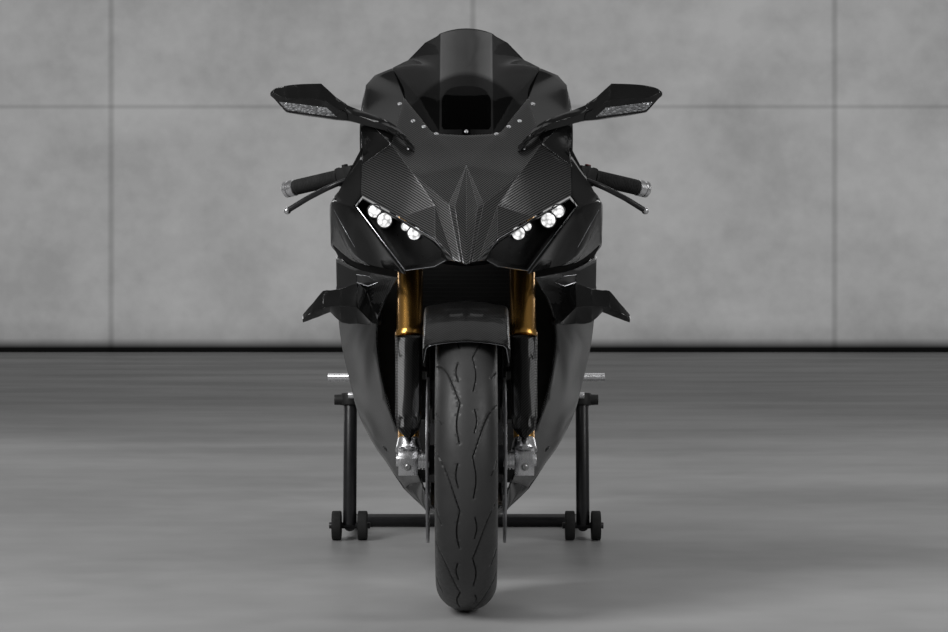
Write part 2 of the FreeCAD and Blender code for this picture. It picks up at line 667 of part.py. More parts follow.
perch = fuse(
    bar_box(switch_in + 35, 20, 12, 54, 0, 34).cut(bar_bore),
    rod(bar_point(switch_in + 45, 34, -8), bar_point(switch_in + 82, 34, -8), 12),
)
perch = perch.cut(bar_bore)
feature("bar_controls", both_sides(fuse(switch, perch)))
lever_points = [
    bar_point(switch_in + 52, 24, -8), bar_point(grip_in, 54, -19),
    bar_point(size.bar_cap_len + 57, 44, -31), bar_point(size.bar_cap_len + 2, 50, -48),
]
lever = pipe(lever_points, size.lever_r, 60)
ball = Part.makeSphere(size.lever_ball_r, lever_points[-1])
feature("levers", both_sides(largest(fuse(lever, ball).cut(perch))))


# Bodywork: every net gives (x, d behind the front axle, z) of the left half's outer face

NOSE = {
    "tip": (0, -82, 691), "ridge low": (0, -16, 790), "ridge high": (0, 80, 893),
    "fold tip": (6, -81, 692), "fold top": (23, -10, 806), "valley tip": (11, -73, 695),
    "valley top": (35, 4, 812),
    "screen foot": (0, 160, 959), "screen foot side": (52, 165, 962), "screen foot end": (72, 169, 967),
    "screen side": (131, 262, 1043), "crease tip": (24, -68, 698), "crease low": (63, 10, 810),
    "crease mid": (108, 65, 875), "crease top": (155, 150, 940),
    "brow tip": (36, -50, 698), "brow low": (62, -40, 744), "brow mid": (134, 45, 787),
    "brow end": (216, 137, 834), "brow top": (217, 180, 898),
}
NOSE_FACES = [
    ("tip", "fold tip", "fold top", "ridge low"), ("ridge low", "fold top", "ridge high"),
    ("fold tip", "valley tip", "valley top", "fold top"), ("fold top", "valley top", "ridge high"),
    ("valley tip", "crease tip", "crease low", "valley top"),
    ("valley top", "crease low", "crease mid", "ridge high"),
    ("ridge high", "crease mid", "screen foot end", "screen foot side", "screen foot"),
    ("crease mid", "crease top", "screen foot end"),
    ("screen foot end", "crease top", "screen side"),
    ("crease tip", "brow tip", "brow low"), ("crease tip", "brow low", "crease low"),
    ("crease low", "brow low", "brow mid"), ("crease low", "brow mid", "crease mid"),
    ("crease mid", "brow mid", "brow end"), ("crease mid", "brow end", "brow top"),
    ("crease mid", "brow top", "crease top"),
]
nose_cowl = skin(NOSE, NOSE_FACES, size.panel)
feature("nose_cowl", nose_cowl)

SCREEN = {
    "foot": NOSE["screen foot"], "foot side": NOSE["screen foot side"],
    "foot end": NOSE["screen foot end"], "low": (0, 232, 1043), "low side": (54, 238, 1043),
    "low wing": (100, 250, 1043), "low end": NOSE["screen side"], "mid": (0, 306, 1112),
    "mid side": (56, 312, 1112), "mid wing": (112, 322, 1112), "corner": (158, 330, 1112),
    "high": (0, 362, 1165), "high side": (54, 366, 1165), "shoulder": (126, 385, 1134),
    "top": (0, 412, 1205), "top side": (57, 410, 1205), "top end": (89, 405, 1183),
}
SCREEN_FACES = [
    ("foot", "foot side", "low side", "low"), ("foot side", "foot end", "low wing", "low side"),
    ("foot end", "low end", "low wing"), ("low", "low side", "mid side", "mid"),
    ("low side", "low wing", "mid wing", "mid side"), ("low wing", "low end", "corner", "mid wing"),
    ("mid", "mid side", "high side", "high"), ("mid side", "mid wing", "shoulder", "high side"),
    ("mid wing", "corner", "shoulder"), ("high", "high side", "top side", "top"),
    ("high side", "shoulder", "top end"), ("high side", "top end", "top side"),
]
feature("windscreen", skin(SCREEN, SCREEN_FACES, size.screen_wall))

COCKPIT = {
    "crease top": NOSE["crease top"], "screen side": NOSE["screen side"], "corner": SCREEN["corner"],
    "base": NOSE["brow top"], "mid": (219, 240, 1006), "high": (213, 300, 1073), "top": (195, 330, 1097),
    "base back": (221, 188, 900), "mid back": (223, 250, 1005), "high back": (216, 335, 1066),
    "top back": (192, 362, 1088),
}
COCKPIT_FACES = [
    ("crease top", "base", "mid"), ("crease top", "mid", "screen side"),
    ("screen side", "mid", "high"), ("screen side", "high", "top"), ("screen side", "top", "corner"),
    ("base", "base back", "mid back", "mid"), ("mid", "mid back", "high back", "high"),
    ("high", "high back", "top back", "top"),
]
cockpit_side = skin(COCKPIT, COCKPIT_FACES, size.panel, False)
feature("cockpit_sides", both_sides(cockpit_side))

UPPER = {
    "top": (217, 184, 935), "base": NOSE["brow top"], "lamp top": NOSE["brow end"],
    "lamp side": (232, 145, 812), "lamp low": (125, 50, 672), "shoulder": (266, 205, 845),
    "edge": (281, 235, 827), "crease out": (279, 238, 806), "crease in": (240, 195, 724),
    "gill in": (172, 150, 685), "gill mid": (234, 250, 698), "gill out": (290, 350, 740),
    "rise": (290, 330, 800), "drop": (288, 420, 762), "rear": (268, 560, 745),
    "low mid": (291, 450, 728), "low rear": (272, 600, 704),
}
UPPER_FACES = [
    ("base", "lamp top", "shoulder"), ("top", "base", "shoulder"), ("lamp top", "lamp side", "shoulder"),
    ("lamp side", "edge", "shoulder"), ("lamp side", "lamp low", "gill in"),
    ("lamp side", "gill in", "crease in"), ("lamp side", "crease in", "crease out"),
    ("lamp side", "crease out", "edge"), ("crease in", "gill in", "gill mid"),
    ("crease out", "crease in", "gill mid"), ("crease out", "gill mid", "gill out"),
    ("edge", "crease out", "rise"), ("crease out", "gill out", "rise"),
    ("rise", "gill out", "low mid", "drop"), ("drop", "low mid", "low rear", "rear"),
]
upper_fairing = largest(skin(UPPER, UPPER_FACES, size.panel, False).cut(cockpit_side))
feature("upper_fairings", both_sides(upper_fairing))

# Each row runs from the wheel opening's lip back: lip, quarter, widest, middle, rear.
SIDE_ROWS = [
    [(140, 84, 664), (226, 275, 682), (282, 410, 712), (270, 560, 698), (216, 790, 650)],
    [(157, 150, 639), (228, 300, 630), (281, 430, 617), (274, 600, 600), (220, 820, 570)],
    [(180, 210, 597), (228, 320, 580), (279, 455, 575), (270, 640, 545), (216, 840, 505)],
    [(190, 270, 523), (230, 370, 505), (272, 495, 505), (260, 670, 470), (208, 860, 445)],
    [(173, 330, 415), (214, 430, 410), (253, 530, 417), (240, 690, 395), (198, 870, 375)],
    [(150, 350, 345), (190, 450, 335), (222, 548, 325), (212, 710, 305), (182, 880, 295)],
    [(121, 365, 284), (154, 460, 270), (181, 555, 260), (176, 725, 245), (152, 885, 238)],
    [(98, 378, 226), (124, 470, 212), (140, 560, 196), (136, 735, 192), (122, 890, 190)],
]
side_fairing = grid_skin(SIDE_ROWS, size.panel)
feature("side_fairings", both_sides(side_fairing))

BELLY_ROWS = [
    SIDE_ROWS[-1],
    [(78, 390, 168), (84, 480, 150), (88, 560, 146), (86, 740, 146), (82, 895, 150)],
    [(0, 400, 158), (0, 480, 140), (0, 560, 136), (0, 740, 136), (0, 895, 142)],
]
belly = largest(grid_skin(BELLY_ROWS, size.panel, True).cut(side_fairing).cut(mirrored(side_fairing)))
feature("belly_pan", belly)

# Headlamps: an open tray behind the brow, with four lens barrels on each side.
LAMP_RIM = [
    (214, 142, 826), (134, 52, 780), (64, -28, 738), (42, -40, 716), (40, -38, 700),
    (62, -18, 688), (124, 58, 680), (226, 150, 810),
]
LAMP_DEPTH = 34
LAMP_SHRINK = 0.86
lamp_x = sum(p[0] for p in LAMP_RIM) / len(LAMP_RIM)
lamp_z = sum(p[2] for p in LAMP_RIM) / len(LAMP_RIM)
lamp_net = {f"rim {i}": p for i, p in enumerate(LAMP_RIM)}
for i, (x, d, z) in enumerate(LAMP_RIM):
    lamp_net[f"floor {i}"] = (
        lamp_x + (x - lamp_x) * LAMP_SHRINK, d + LAMP_DEPTH, lamp_z + (z - lamp_z) * LAMP_SHRINK)
lamp_faces = []
for i in range(len(LAMP_RIM)):
    j = (i + 1) % len(LAMP_RIM)
    lamp_faces.append((f"rim {i}", f"rim {j}", f"floor {j}", f"floor {i}"))
lamp_faces += [("floor 0", "floor 1", "floor 6", "floor 7"), ("floor 1", "floor 2", "floor 5", "floor 6"),
               ("floor 2", "floor 3", "floor 4", "floor 5")]
lamp_tray = skin(lamp_net, lamp_faces, 3, False)
feature("headlamp_trays", both_sides(lamp_tray))


def barrel(x, d, z, radius, length, behind, cutter):
    """A lens barrel that ends on the tray behind it."""
    tube = rod(at(x, d - length, z), at(x, d + behind, z), radius)
    pieces = tube.cut(cutter).Solids
    return min(pieces, key=lambda solid: solid.CenterOfMass.y)


# Headlamp lens barrels: x, z, radius; the depth follows the tray.
LENSES = [(188, 801, 15), (167, 782, 17), (123, 768, 10), (105, 754, 15)]
barrels = []
for x, z, radius in LENSES:
    d = 118 - (197 - x) * 1.02
    barrels.append(barrel(x, d + 44, z, radius, 34, 30, lamp_tray))
feature("headlamp_lenses", both_sides(fuse(barrels[0], barrels[1]).fuse(fuse(barrels[2], barrels[3]))))

# The instrument pod: d, half width, bottom and top of three sections behind each other.
POD = [(266, 40, 990, 1050), (280, 52, 984, 1068), (322, 48, 980, 1060)]


def pod_outline(d, half, low, high):
    round_low = high - half * 0.55
    right = [(half, low), (half, round_low), (half * 0.8, high - half * 0.18), (half * 0.35, high)]
    return [at(x, d, z) for x, z in right] + [at(-x, d, z) for x, z in reversed(right)]


pod = loft([pod_outline(*row) for row in POD])
feature("instrument_pod", pod)

# Mirrors: x, d, lowest, highest and depth of each section out along the arm.
MIRROR = [
    (112, 124, 924, 940, 12), (135, 140, 950, 966, 24), (168, 180, 969, 992, 34),
    (243, 220, 992, 1022, 44), (272, 226, 995, 1042, 52), (303, 229, 1000, 1070, 58),
    (345, 232, 1006, 1069, 60), (377, 234, 1012, 1066, 54), (401, 235, 1038, 1060, 32),
    (410, 236, 1046, 1053, 16),
]


def mirror_outline(x, d, low, high, depth):
    mid = (low + high) / 2
    places = [(-0.5, mid), (-0.2, low), (0.4, low), (0.5, mid), (0.4, high), (-0.2, high)]
    return [at(x, d + share * depth, z) for share, z in places]


mirror_body = loft([mirror_outline(*row) for row in MIRROR])
foot_x, foot_d, foot_low, foot_high, foot_depth = MIRROR[0]
root = loft([
    mirror_outline(foot_x - 6, foot_d + 4, foot_low - 12, foot_high - 6, foot_depth),
    mirror_outline(*MIRROR[0])])
mirror_body = largest(fuse(mirror_body, root).cut(nose_cowl).cut(cockpit_side))
# The indicator's corners (x, z) seen from in front, and how far it reaches back from the head's front.
INDICATOR = [(391, 1032), (291, 1019), (270, 1000), (375, 1014)]
INDICATOR_DEPTH = 22
head_front = MIRROR[6][1] - MIRROR[6][4] / 2
lens_box = prism([at(x, head_front - 1, z) for x, z in INDICATOR], INDICATOR_DEPTH, Y_AXIS)
indicator = largest(mirror_body.common(lens_box))
GLASS_WIDE, GLASS_TALL, GLASS_WALL = 112, 50, 5
glass_box = Part.makeBox(GLASS_WIDE, GLASS_WALL, GLASS_TALL)
glass_box.translate(at(286, MIRROR[6][1] + 21, 1013))
glass = largest(mirror_body.common(glass_box))
feature("mirrors", both_sides(largest(mirror_body.cut(lens_box).cut(glass_box))))
feature("mirror_indicators", both_sides(indicator))
feature("mirror_glasses", both_sides(glass))

# Winglets: x, d, lowest, front edge, highest and chord of each section out from the fairing.
WINGLET = [
    (178, 272, 565, 566, 618, 96), (196, 272, 566, 569, 627, 96), (230, 276, 568, 603, 654, 96),
    (264, 284, 571, 606, 641, 88), (287, 290, 592, 604, 638, 74), (303, 294, 586, 600, 637, 66),
    (324, 297, 578, 592, 612, 54), (346, 300, 570, 577, 587, 40),
]


def wing_outline(x, d, low, mid, high, chord):
    places = [(-0.5, mid), (-0.15, low), (0.3, low + 3), (0.5, mid), (0.3, high), (-0.15, high)]
    return [at(x, d + share * chord, z) for share, z in places]


winglet = loft([wing_outline(*row) for row in WINGLET])
pieces = winglet.cut(side_fairing).Solids
winglet = max(pieces, key=lambda solid: solid.CenterOfMass.x)
feature("winglets", both_sides(winglet))

# Tank, seat and tail: d, lowest, widest and highest heights with their half widths.
TANK = [
    (436, 100, 812, 142, 880, 92, 928), (520, 116, 800, 178, 884, 118, 960),
    (660, 112, 786, 170, 870, 116, size.tank_top_z), (780, 96, 780, 128, 846, 84, 934),
    (872, 80, 776, 92, 812, 58, 872),
]
SEAT = [
    (866, 70, 800, 84, 824, 60, 846), (960, 100, 796, 122, 824, 96, size.seat_z),
    (1120, 110, 806, 136, 832, 110, size.seat_z), (1225, 96, 824, 120, 850, 96, 872),
]
TAIL = [
    (1190, 92, 770, 138, 806, 120, 822), (1232, 96, 775, 140, 836, 100, 890),
    (1400, 80, 800, 120, 870, 84, 940), (1560, 54, 840, 92, 890, 62, 950),
    (size.tail_end_d, 28, 900, 52, 922, 34, 946),
]


def body_outline(d, low_half, low, mid_half, mid, top_half, top):
    right = [(low_half, low), (mid_half, mid - (mid - low) * 0.25), (mid_half, mid + (top - mid) * 0.2),
             (top_half, top - (top - mid) * 0.12), (top_half * 0.5, top)]
    return [at(x, d, z) for x, z in right] + [at(-x, d, z) for x, z in reversed(right)]


tank = loft([body_outline(*row) for row in TANK])
feature("fuel_tank", tank)
cap_foot = at(0, 560, size.tank_top_z - 8)
filler = rod(cap_foot, cap_foot + Z_AXIS * 14, 42).cut(tank)
feature("fuel_cap", max(filler.Solids, key=lambda solid: solid.CenterOfMass.z))
tail = loft([body_outline(*row) for row in TAIL])
seat = loft([body_outline(*row) for row in SEAT])
SOFT_GAP = 0.4
feature("seat", largest(seat.cut(tail).cut(tank)))
feature("tail_cowl", tail)
lamp_d = size.tail_end_d
feature("tail_lamp", prism(
    [at(x, lamp_d + SOFT_GAP / 4, z) for x, z in ((-46, 912), (46, 912), (40, 932), (-40, 932))], 8, Y_AXIS))

# Frame spars: d, inner x, width, lowest and highest of each section.
SPAR = [
    (318, 36, 26, 800, 868), (400, 78, 26, 720, 800), (480, 112, 28, 660, 776), (640, 124, 28, 580, 700),
    (800, 130, 28, 430, 600), (870, 138, 28, 340, 470), (945, 138, 28, 335, 440),
]
spar = loft([
    [at(x, d, low), at(x + w, d, low), at(x + w, d, high), at(x, d, high)] for d, x, w, low, high in SPAR])
stem_foot = FRONT_AXLE + FORK_BACK * STEM_BACK
head_low = stem_foot + FORK_UP * (up_leg(size.lower_clamp_z) + size.clamp_depth * 0.65 + 6)
head_high = stem_foot + FORK_UP * (up_leg(size.upper_clamp_z) - size.clamp_depth / 2 - 6)
head = rod(head_low, head_high, size.head_r)
gusset = loft([
    [at(x, 300, z) for x, z in ((-30, 812), (30, 812), (30, 858), (-30, 858))],
    [at(x, 330, z) for x, z in ((-58, 790), (58, 790), (58, 862), (-58, 862))]])
stem_bore = rod(head_low - FORK_UP * 40, head_high + FORK_UP * 60, size.stem_r + 0.3)
pivot = at(0, size.pivot_d, size.pivot_z)
pivot_bore = rod(pivot - X_AXIS * 300, pivot + X_AXIS * 300, 12.02)
pivot_shaft = rod(pivot - X_AXIS * 160, pivot + X_AXIS * 160, 12)
STAND_HINGE = at(170, 918, 272)
hinge_axis = Vector(-0.965, 0, -0.26).normalize()
cheeks = []
for way in (-1, 1):
    near = STAND_HINGE + hinge_axis * way * 9.4
    cheeks.append(rod(near, near + hinge_axis * way * 6, 15))
hinge_pin = rod(STAND_HINGE - hinge_axis * 18, STAND_HINGE + hinge_axis * 18, 6)
bracket = prism([at(138.2, d, z) for d, z in ((884, 262), (912, 282), (944, 350), (872, 350))],
                14, X_AXIS)
link = rod(at(146, 905, 290), STAND_HINGE + hinge_axis * 18.5 + Vector(0, -2, 6), 7)
frame = fuse(head, gusset, spar, mirrored(spar), pivot_shaft, *cheeks, hinge_pin, bracket, link)
frame = frame.cut(stem_bore)
feature("frame", frame)

ENGINE = [(400, 330), (430, 250), (700, 232), (835, 300), (850, 470), (640, 560), (560, 700), (430, 680)]
ENGINE_HALF = 106
engine = prism([at(-ENGINE_HALF, d, z) for d, z in ENGINE], ENGINE_HALF * 2, X_AXIS)
crank_case = rod(at(-175, 640, 350), at(175, 640, 350), 88)
engine = fuse(engine, crank_case).cut(rod(at(107, 835, 400), at(200, 835, 400), 60)).cut(frame)
feature("engine_block", engine)
radiator = block(at(0, 388, 560), 300, 30, 250, 12)
for way in (-1, 1):
    radiator = radiator.fuse(rod(at(way * 108, 398, 640), at(way * 122, 474, 704), 8))
radiator = radiator.cut(engine).cut(frame)
feature("radiator", radiator)

# The shroud closes the nose's throat round the radiator, out to the middle of the fairings' walls.
SHROUD_D, SHROUD_WALL = 402, 3


def crossing(row):
    """Where a net's row crosses the shroud, half a wall in, as (x, z)."""
    for a, b in zip(row, row[1:]):
        if a[1] <= SHROUD_D <= b[1]:
            share = (SHROUD_D - a[1]) / (b[1] - a[1])
            return a[0] + (b[0] - a[0]) * share - size.panel / 2, a[2] + (b[2] - a[2]) * share


upper_rows = [(UPPER["rise"], UPPER["drop"]), (UPPER["gill out"], UPPER["low mid"])]
shroud_edge = [crossing(row) for row in [*upper_rows, *SIDE_ROWS]]
throat_top = shroud_edge[0][1]
shroud_half = [(0, 716), (70, 716), (70, throat_top), *shroud_edge]
shroud_outline = shroud_half + [(-x, z) for x, z in shroud_half[:0:-1]]
shroud = prism([at(x, SHROUD_D, z) for x, z in shroud_outline], SHROUD_WALL, Y_AXIS)
for piece in (radiator, engine, frame, belly):
    shroud = shroud.cut(piece)
for panel in (side_fairing, upper_fairing):
    shroud = shroud.cut(panel).cut(mirrored(panel))
feature("radiator_shroud", largest(shroud))

muffler = prism([at(-78, d, z) for d, z in ((490, 166), (880, 166), (880, 222), (510, 222))], 156, X_AXIS)
outlets = [hose(at(x, 876, 196), at(x, 940, 200), 26, 23) for x in (-50, 50)]
headers = [rod(at(x, 500, 300), at(x, 530, 200), 20) for x in (-40, 40)]
feature("exhaust", fuse(muffler, *outlets, *headers).cut(engine))

def stay(a, b, radius, *ends):
    """A round bar from a to b that stops on the pieces at its ends."""
    bar = rod(a, b, radius)
    for piece in ends:
        bar = bar.cut(piece)
    return largest(bar)


cowl_beam = fuse(
    prism([at(-11, d, z) for d, z in ((262, 815), (262, 850), (142, 850), (142, 828))], 22, X_AXIS),
    rod(at(0, 150, 838), at(0, 284, 1010), 9),
    rod(at(-150, 146, 838), at(150, 146, 838), 8),
    *[rod(at(x, 146, 838), at(x, 96, 783), 7) for x in (-150, 150)],
)
for piece in (frame, lamp_tray, mirrored(lamp_tray), pod, stem_bore):
    cowl_beam = cowl_beam.cut(piece)
cowl_beam = largest(cowl_beam)
side_stays = [
    stay(at(130, 520, 700), at(300, 520, 704), 7, frame, side_fairing),
    stay(at(150, 660, 360), at(260, 660, 362), 7, crank_case, side_fairing),
]
belly_stays = [stay(at(0, d, 190), at(0, d, 120), 9, muffler, belly) for d in (540, 820)]
feature("fairing_stays", Part.makeCompound(
    [cowl_beam, *side_stays, *[mirrored(bar) for bar in side_stays], *belly_stays]))

# Swingarm legs: d, inner x, width, lowest and highest of each section.
LEG = [
    (size.pivot_d - 31, 100, 34, size.pivot_z - 23, size.pivot_z + 23),
    (size.pivot_d + 55, 102, 34, size.pivot_z - 25, size.pivot_z + 35),
    (size.pivot_d + 185, 132, 26, REAR_AXLE_Z - 24, REAR_AXLE_Z + 52),
    (REAR_AXLE_D - 150, 132, 26, REAR_AXLE_Z - 34, REAR_AXLE_Z + 44),
    (REAR_AXLE_D - 50, 132, 26, REAR_AXLE_Z - 26, REAR_AXLE_Z + 30),
    (REAR_AXLE_D + 42, 132, 26, REAR_AXLE_Z - 16, REAR_AXLE_Z + 16),
]
arm = loft([
    [at(x, d, low), at(x + w, d, low), at(x + w, d, high), at(x, d, high)] for d, x, w, low, high in LEG])
bridge = prism(
    [at(-104, size.pivot_d + d, size.pivot_z + z) for d, z in ((57, -19), (157, -19), (157, 29), (57, 29))],
    208, X_AXIS)
axle_bore = rod(REAR_AXLE - X_AXIS * 300, REAR_AXLE + X_AXIS * 300, size.rear_axle_r + 0.02)
BOBBIN_D, BOBBIN_Z = REAR_AXLE_D - size.bobbin_ahead, REAR_AXLE_Z - size.bobbin_drop
bobbin_at = at(0, BOBBIN_D, BOBBIN_Z)
arm_out = LEG[-1][1] + LEG[-1][2]
bobbin = fuse(
    rod(bobbin_at + X_AXIS * (arm_out - 4), bobbin_at + X_AXIS * (arm_out + 30), size.bobbin_r),
    rod(bobbin_at + X_AXIS * (arm_out + 24), bobbin_at + X_AXIS * (arm_out + 30), size.bobbin_r + 7))
swingarm = fuse(arm, mirrored(arm), bridge, bobbin, mirrored(bobbin)).cut(pivot_bore).cut(axle_bore)
feature("swingarm", swingarm)
axle_half = arm_out + 12
nuts = [
    hose(REAR_AXLE + X_AXIS * way * (arm_out + 0.1), REAR_AXLE + X_AXIS * way * axle_half, 24,
         size.rear_axle_r - 1)
    for way in (-1, 1)
]
spacers = [
    hose(REAR_AXLE + X_AXIS * a, REAR_AXLE + X_AXIS * b, 22, size.rear_axle_r - 1)
    for a, b in ((size.chain_x + 3.3, LEG[-1][1] - 0.02), (-LEG[-1][1] + 0.02, -(rear_hub_half + 5.4)))
]
feature("rear_axle", fuse(stepped_axle(REAR_AXLE, axle_half, size.rear_axle_r), *nuts, *spacers))

# Rear caliper: above the arm, over the disc behind the axle.

def rear_point(along, back, x):
    return REAR_AXLE + Vector(x, along, back)


rear_caliper = prism(
    [rear_point(y, z, -62) for y, z in ((-104, 58), (-70, 112), (-28, 140), (-20, 108), (-62, 62))],
    -34, X_AXIS)
rear_slot = rod(REAR_AXLE + X_AXIS * (rear_disc_x - size.disc_wall / 2 - 5),
                REAR_AXLE + X_AXIS * (rear_disc_x + size.disc_wall / 2 + 5), size.rear_disc_r + 5)
mount = prism(
    [rear_point(y, z, 0.05 - LEG[-1][1]) for y, z in ((-104, 30), (-84, 92), (-60, 100), (-60, 20))],
    42, X_AXIS)
mount = mount.cut(rod(REAR_AXLE - X_AXIS * 300, REAR_AXLE, size.rear_disc_r + 5).common(
    rod(REAR_AXLE - X_AXIS * 88, REAR_AXLE, 200)))
feature("rear_caliper", largest(fuse(rear_caliper.cut(rear_slot), mount.cut(rear_slot))))

# Hugger over the rear tyre, carried by the swingarm.
HUGGER_GAP = 12
hugger_half = size.rear_tyre_w / 2 - 6
hugger_in = size.rear_tyre_r + HUGGER_GAP


def ring_arch(shape, wall, centre, first, last):
    """An arch of (half width, radius) turned about a wheel's axle between two angles from the top."""
    outer = [(x, r + wall) for x, r in shape]
    inner = [(x - wall if x else 0, r) for x, r in shape]
    outline = outer + [(-x, r) for x, r in reversed(outer) if x]
    outline += [(-x, r) for x, r in inner if x] + [(x, r) for x, r in reversed(inner)]
    points = [centre + Vector(x, 0, r) for x, r in outline]
    face = Part.Face(Part.makePolygon([*points, points[0]]))
    face.rotate(centre, X_AXIS, -first)
    return face.revolve(centre, X_AXIS, first - last)


hugger = ring_arch([(hugger_half, hugger_in - 34), (hugger_half * 0.9, hugger_in - 8), (0, hugger_in)],
                   3, REAR_AXLE, -88, -12)
for way in (-1, 1):
    tab = prism([at(way * 90, d, z) for d, z in ((1118, 427.3), (1140, 426.5), (1140, 444), (1118, 444))],
                68, X_AXIS * way)
    hugger = hugger.fuse(tab)
feature("rear_hugger", hugger.removeSplitter())

shock_low = at(0, size.pivot_d + 55, size.pivot_z + 70)
shock_high = at(0, size.pivot_d + 20, size.pivot_z + 305)
SHOCK_ALONG = (shock_high - shock_low).normalize()
coils = [hose(shock_low + SHOCK_ALONG * (52 + 18 * i), shock_low + SHOCK_ALONG * (62 + 18 * i), 34, 20)
         for i in range(8)]
damper = rod(shock_low, shock_high, 20.5)
shock_feet = block(shock_low - Z_AXIS * 20, 30, 34, 42)
feature("rear_shock", fuse(damper, *coils, shock_feet).cut(swingarm))

# Subframe rails from the frame to the tail, and the tray under the tail.
RAIL = [at(92, 800, 592), at(86, 960, 735), at(70, 1180, 800), at(50, 1500, 832)]
rail = pipe(RAIL, 12, 90)
cross = rod(at(-86, 962, 733), at(86, 962, 733), 10)
brace = rod(at(128, 790, 520), RAIL[1], 10)
subframe = fuse(rail, mirrored(rail), brace, mirrored(brace), cross)
feature("subframe", subframe.cut(frame).cut(tail))

# Rearset plates, pegs and foot controls.
PLATE = [
    (-120, 25), (-75, 43), (6, 31), (16, 73), (60, 93), (52, 43), (40, -13), (-40, -67), (-100, -83),
    (-116, -47),
]
plate_in = 166.4


def from_peg(x, back, up):
    """A place x from the middle, measured back and up from the foot-peg."""
    return at(x, size.peg_d + back, size.peg_z + up)


plate = prism([from_peg(plate_in, back, up) for back, up in PLATE], 8, X_AXIS)
plate = plate.cut(rod(from_peg(0, -52, -22), from_peg(300, -52, -22), 17))
feature("rearset_plates", both_sides(plate))
peg_in = plate_in + 8.05
peg = rod(from_peg(peg_in, 0, 0), from_peg(size.peg_tip_x, 0, 0), size.peg_r)
collar = rod(from_peg(peg_in, 0, 0), from_peg(peg_in + 18, 0, 0), size.peg_r + 5)
feature("foot_pegs", both_sides(fuse(peg, collar)))
pedal = fuse(
    rod(from_peg(peg_in, -60, -61), from_peg(peg_in + 36, -60, -61), 8),
    pipe([from_peg(peg_in + 28, -60, -61), from_peg(peg_in + 44, -130, -43),
          from_peg(peg_in + 62, -188, -35)],
         5.5, 60),
    rod(from_peg(peg_in + 58, -188, -35), from_peg(peg_in + 100, -188, -35), 7))
feature("foot_levers", both_sides(pedal))


# Drive chain: side plates with a waist between the rollers, round both sprockets.

def chain_loop():
    """The pitch line: the roller centres as (d, z), evenly spaced round both sprockets."""
    a, b = Vector(0, DRIVE.y, DRIVE.z), Vector(0, REAR_AXLE.y, REAR_AXLE.z)
    along = (b - a).normalize()
    span = (b - a).Length
    lean = math.asin((sprocket_r - drive_r) / span)
    run = span * math.cos(lean)
    over = along.cross(X_AXIS) * -1
    if over.z < 0:
        over = over * -1

    def tangent(way):
        side = over * (way * math.cos(lean)) - along * math.sin(lean)
        return a + side * drive_r, b + side * sprocket_r

    top_a, top_b = tangent(1)
    low_a, low_b = tangent(-1)
    rear_turn, drive_turn = math.pi + 2 * lean, math.pi - 2 * lean
    total = run * 2 + sprocket_r * rear_turn + drive_r * drive_turn
    count = round(total / size.chain_pitch / 2) * 2
    places = []
    for i in range(count * 2):
        s = total * i / (count * 2)
        if s < run:
            places.append(top_a + (top_b - top_a) * (s / run))
            continue
        s -= run
        if s < sprocket_r * rear_turn:
            turned = s / sprocket_r
            arm = top_b - b
            places.append(b + arm * math.cos(turned) + arm.cross(X_AXIS) * math.sin(turned))
            continue
        s -= sprocket_r * rear_turn
        if s < run:
            places.append(low_b + (low_a - low_b) * (s / run))
            continue
        s -= run
        arm = low_a - a
        turned = s / drive_r
        places.append(a + arm * math.cos(turned) + arm.cross(X_AXIS) * math.sin(turned))
    return places


def chain_band(x, wall, tall, waist):
    """One row of side plates: tall at the rollers, with a waist between them."""
    line = chain_loop()
    outer, inner = [], []
    for i, place in enumerate(line):
        before, after = line[i - 1], line[(i + 1) % len(line)]
        out = X_AXIS.cross(after - before).normalize()
        reach = tall if i % 2 == 0 else waist
        outer.append(place + out * reach + X_AXIS * x)
        inner.append(place - out * reach + X_AXIS * x)
    ring = Part.Face(Part.makePolygon([*outer, outer[0]])).cut(
        Part.Face(Part.makePolygon([*inner, inner[0]])))
    return ring.extrude(X_AXIS * wall)


feature("drive_chain", chain_band(size.chain_x - CHAIN_WIDE / 2, CHAIN_WIDE, CHAIN_TALL, CHAIN_WAIST))
# The links' tall ends lie in the drive sprocket's roots, and its teeth rise under their waists.
on_drive = [p for p in chain_loop()[1::2] if (p - Vector(0, DRIVE.y, DRIVE.z)).Length < drive_r + 0.1]
waist = on_drive[len(on_drive) // 2] - Vector(0, DRIVE.y, DRIVE.z)
drive_sprocket = sprocket(
    DRIVE, int(size.drive_teeth), drive_r - CHAIN_TALL - 0.3, drive_r - CHAIN_WAIST - 0.9, 8,
    math.atan2(waist.z, waist.y))
drive_shaft = rod(at(ENGINE_HALF + 0.1, 835, 400), at(size.chain_x + 12, 835, 400), 14)
feature("drive_sprocket", fuse(drive_sprocket, drive_shaft))

# Side stand: hinged on the left pivot plate, folded back along the swingarm.
STAND_LEG = 232
leg_end = STAND_HINGE + Vector(0, STAND_LEG, -2)
eye = rod(STAND_HINGE - hinge_axis * 9, STAND_HINGE + hinge_axis * 9, 17)
leg_bar = lathe([(10, 0), (10, 8.4), (36, 11), (STAND_LEG, 9), (STAND_LEG, 0)], STAND_HINGE,
                (leg_end - STAND_HINGE).normalize())
foot_pad = prism([leg_end + Vector(x, y, -12) for x, y in ((-14, -6), (16, -6), (16, 24), (-14, 24))],
                 24, Z_AXIS)
hinge_bore = rod(STAND_HINGE - hinge_axis * 60, STAND_HINGE + hinge_axis * 60, 6.1)
feature("side_stand", fuse(eye, leg_bar, foot_pad).cut(hinge_bore))

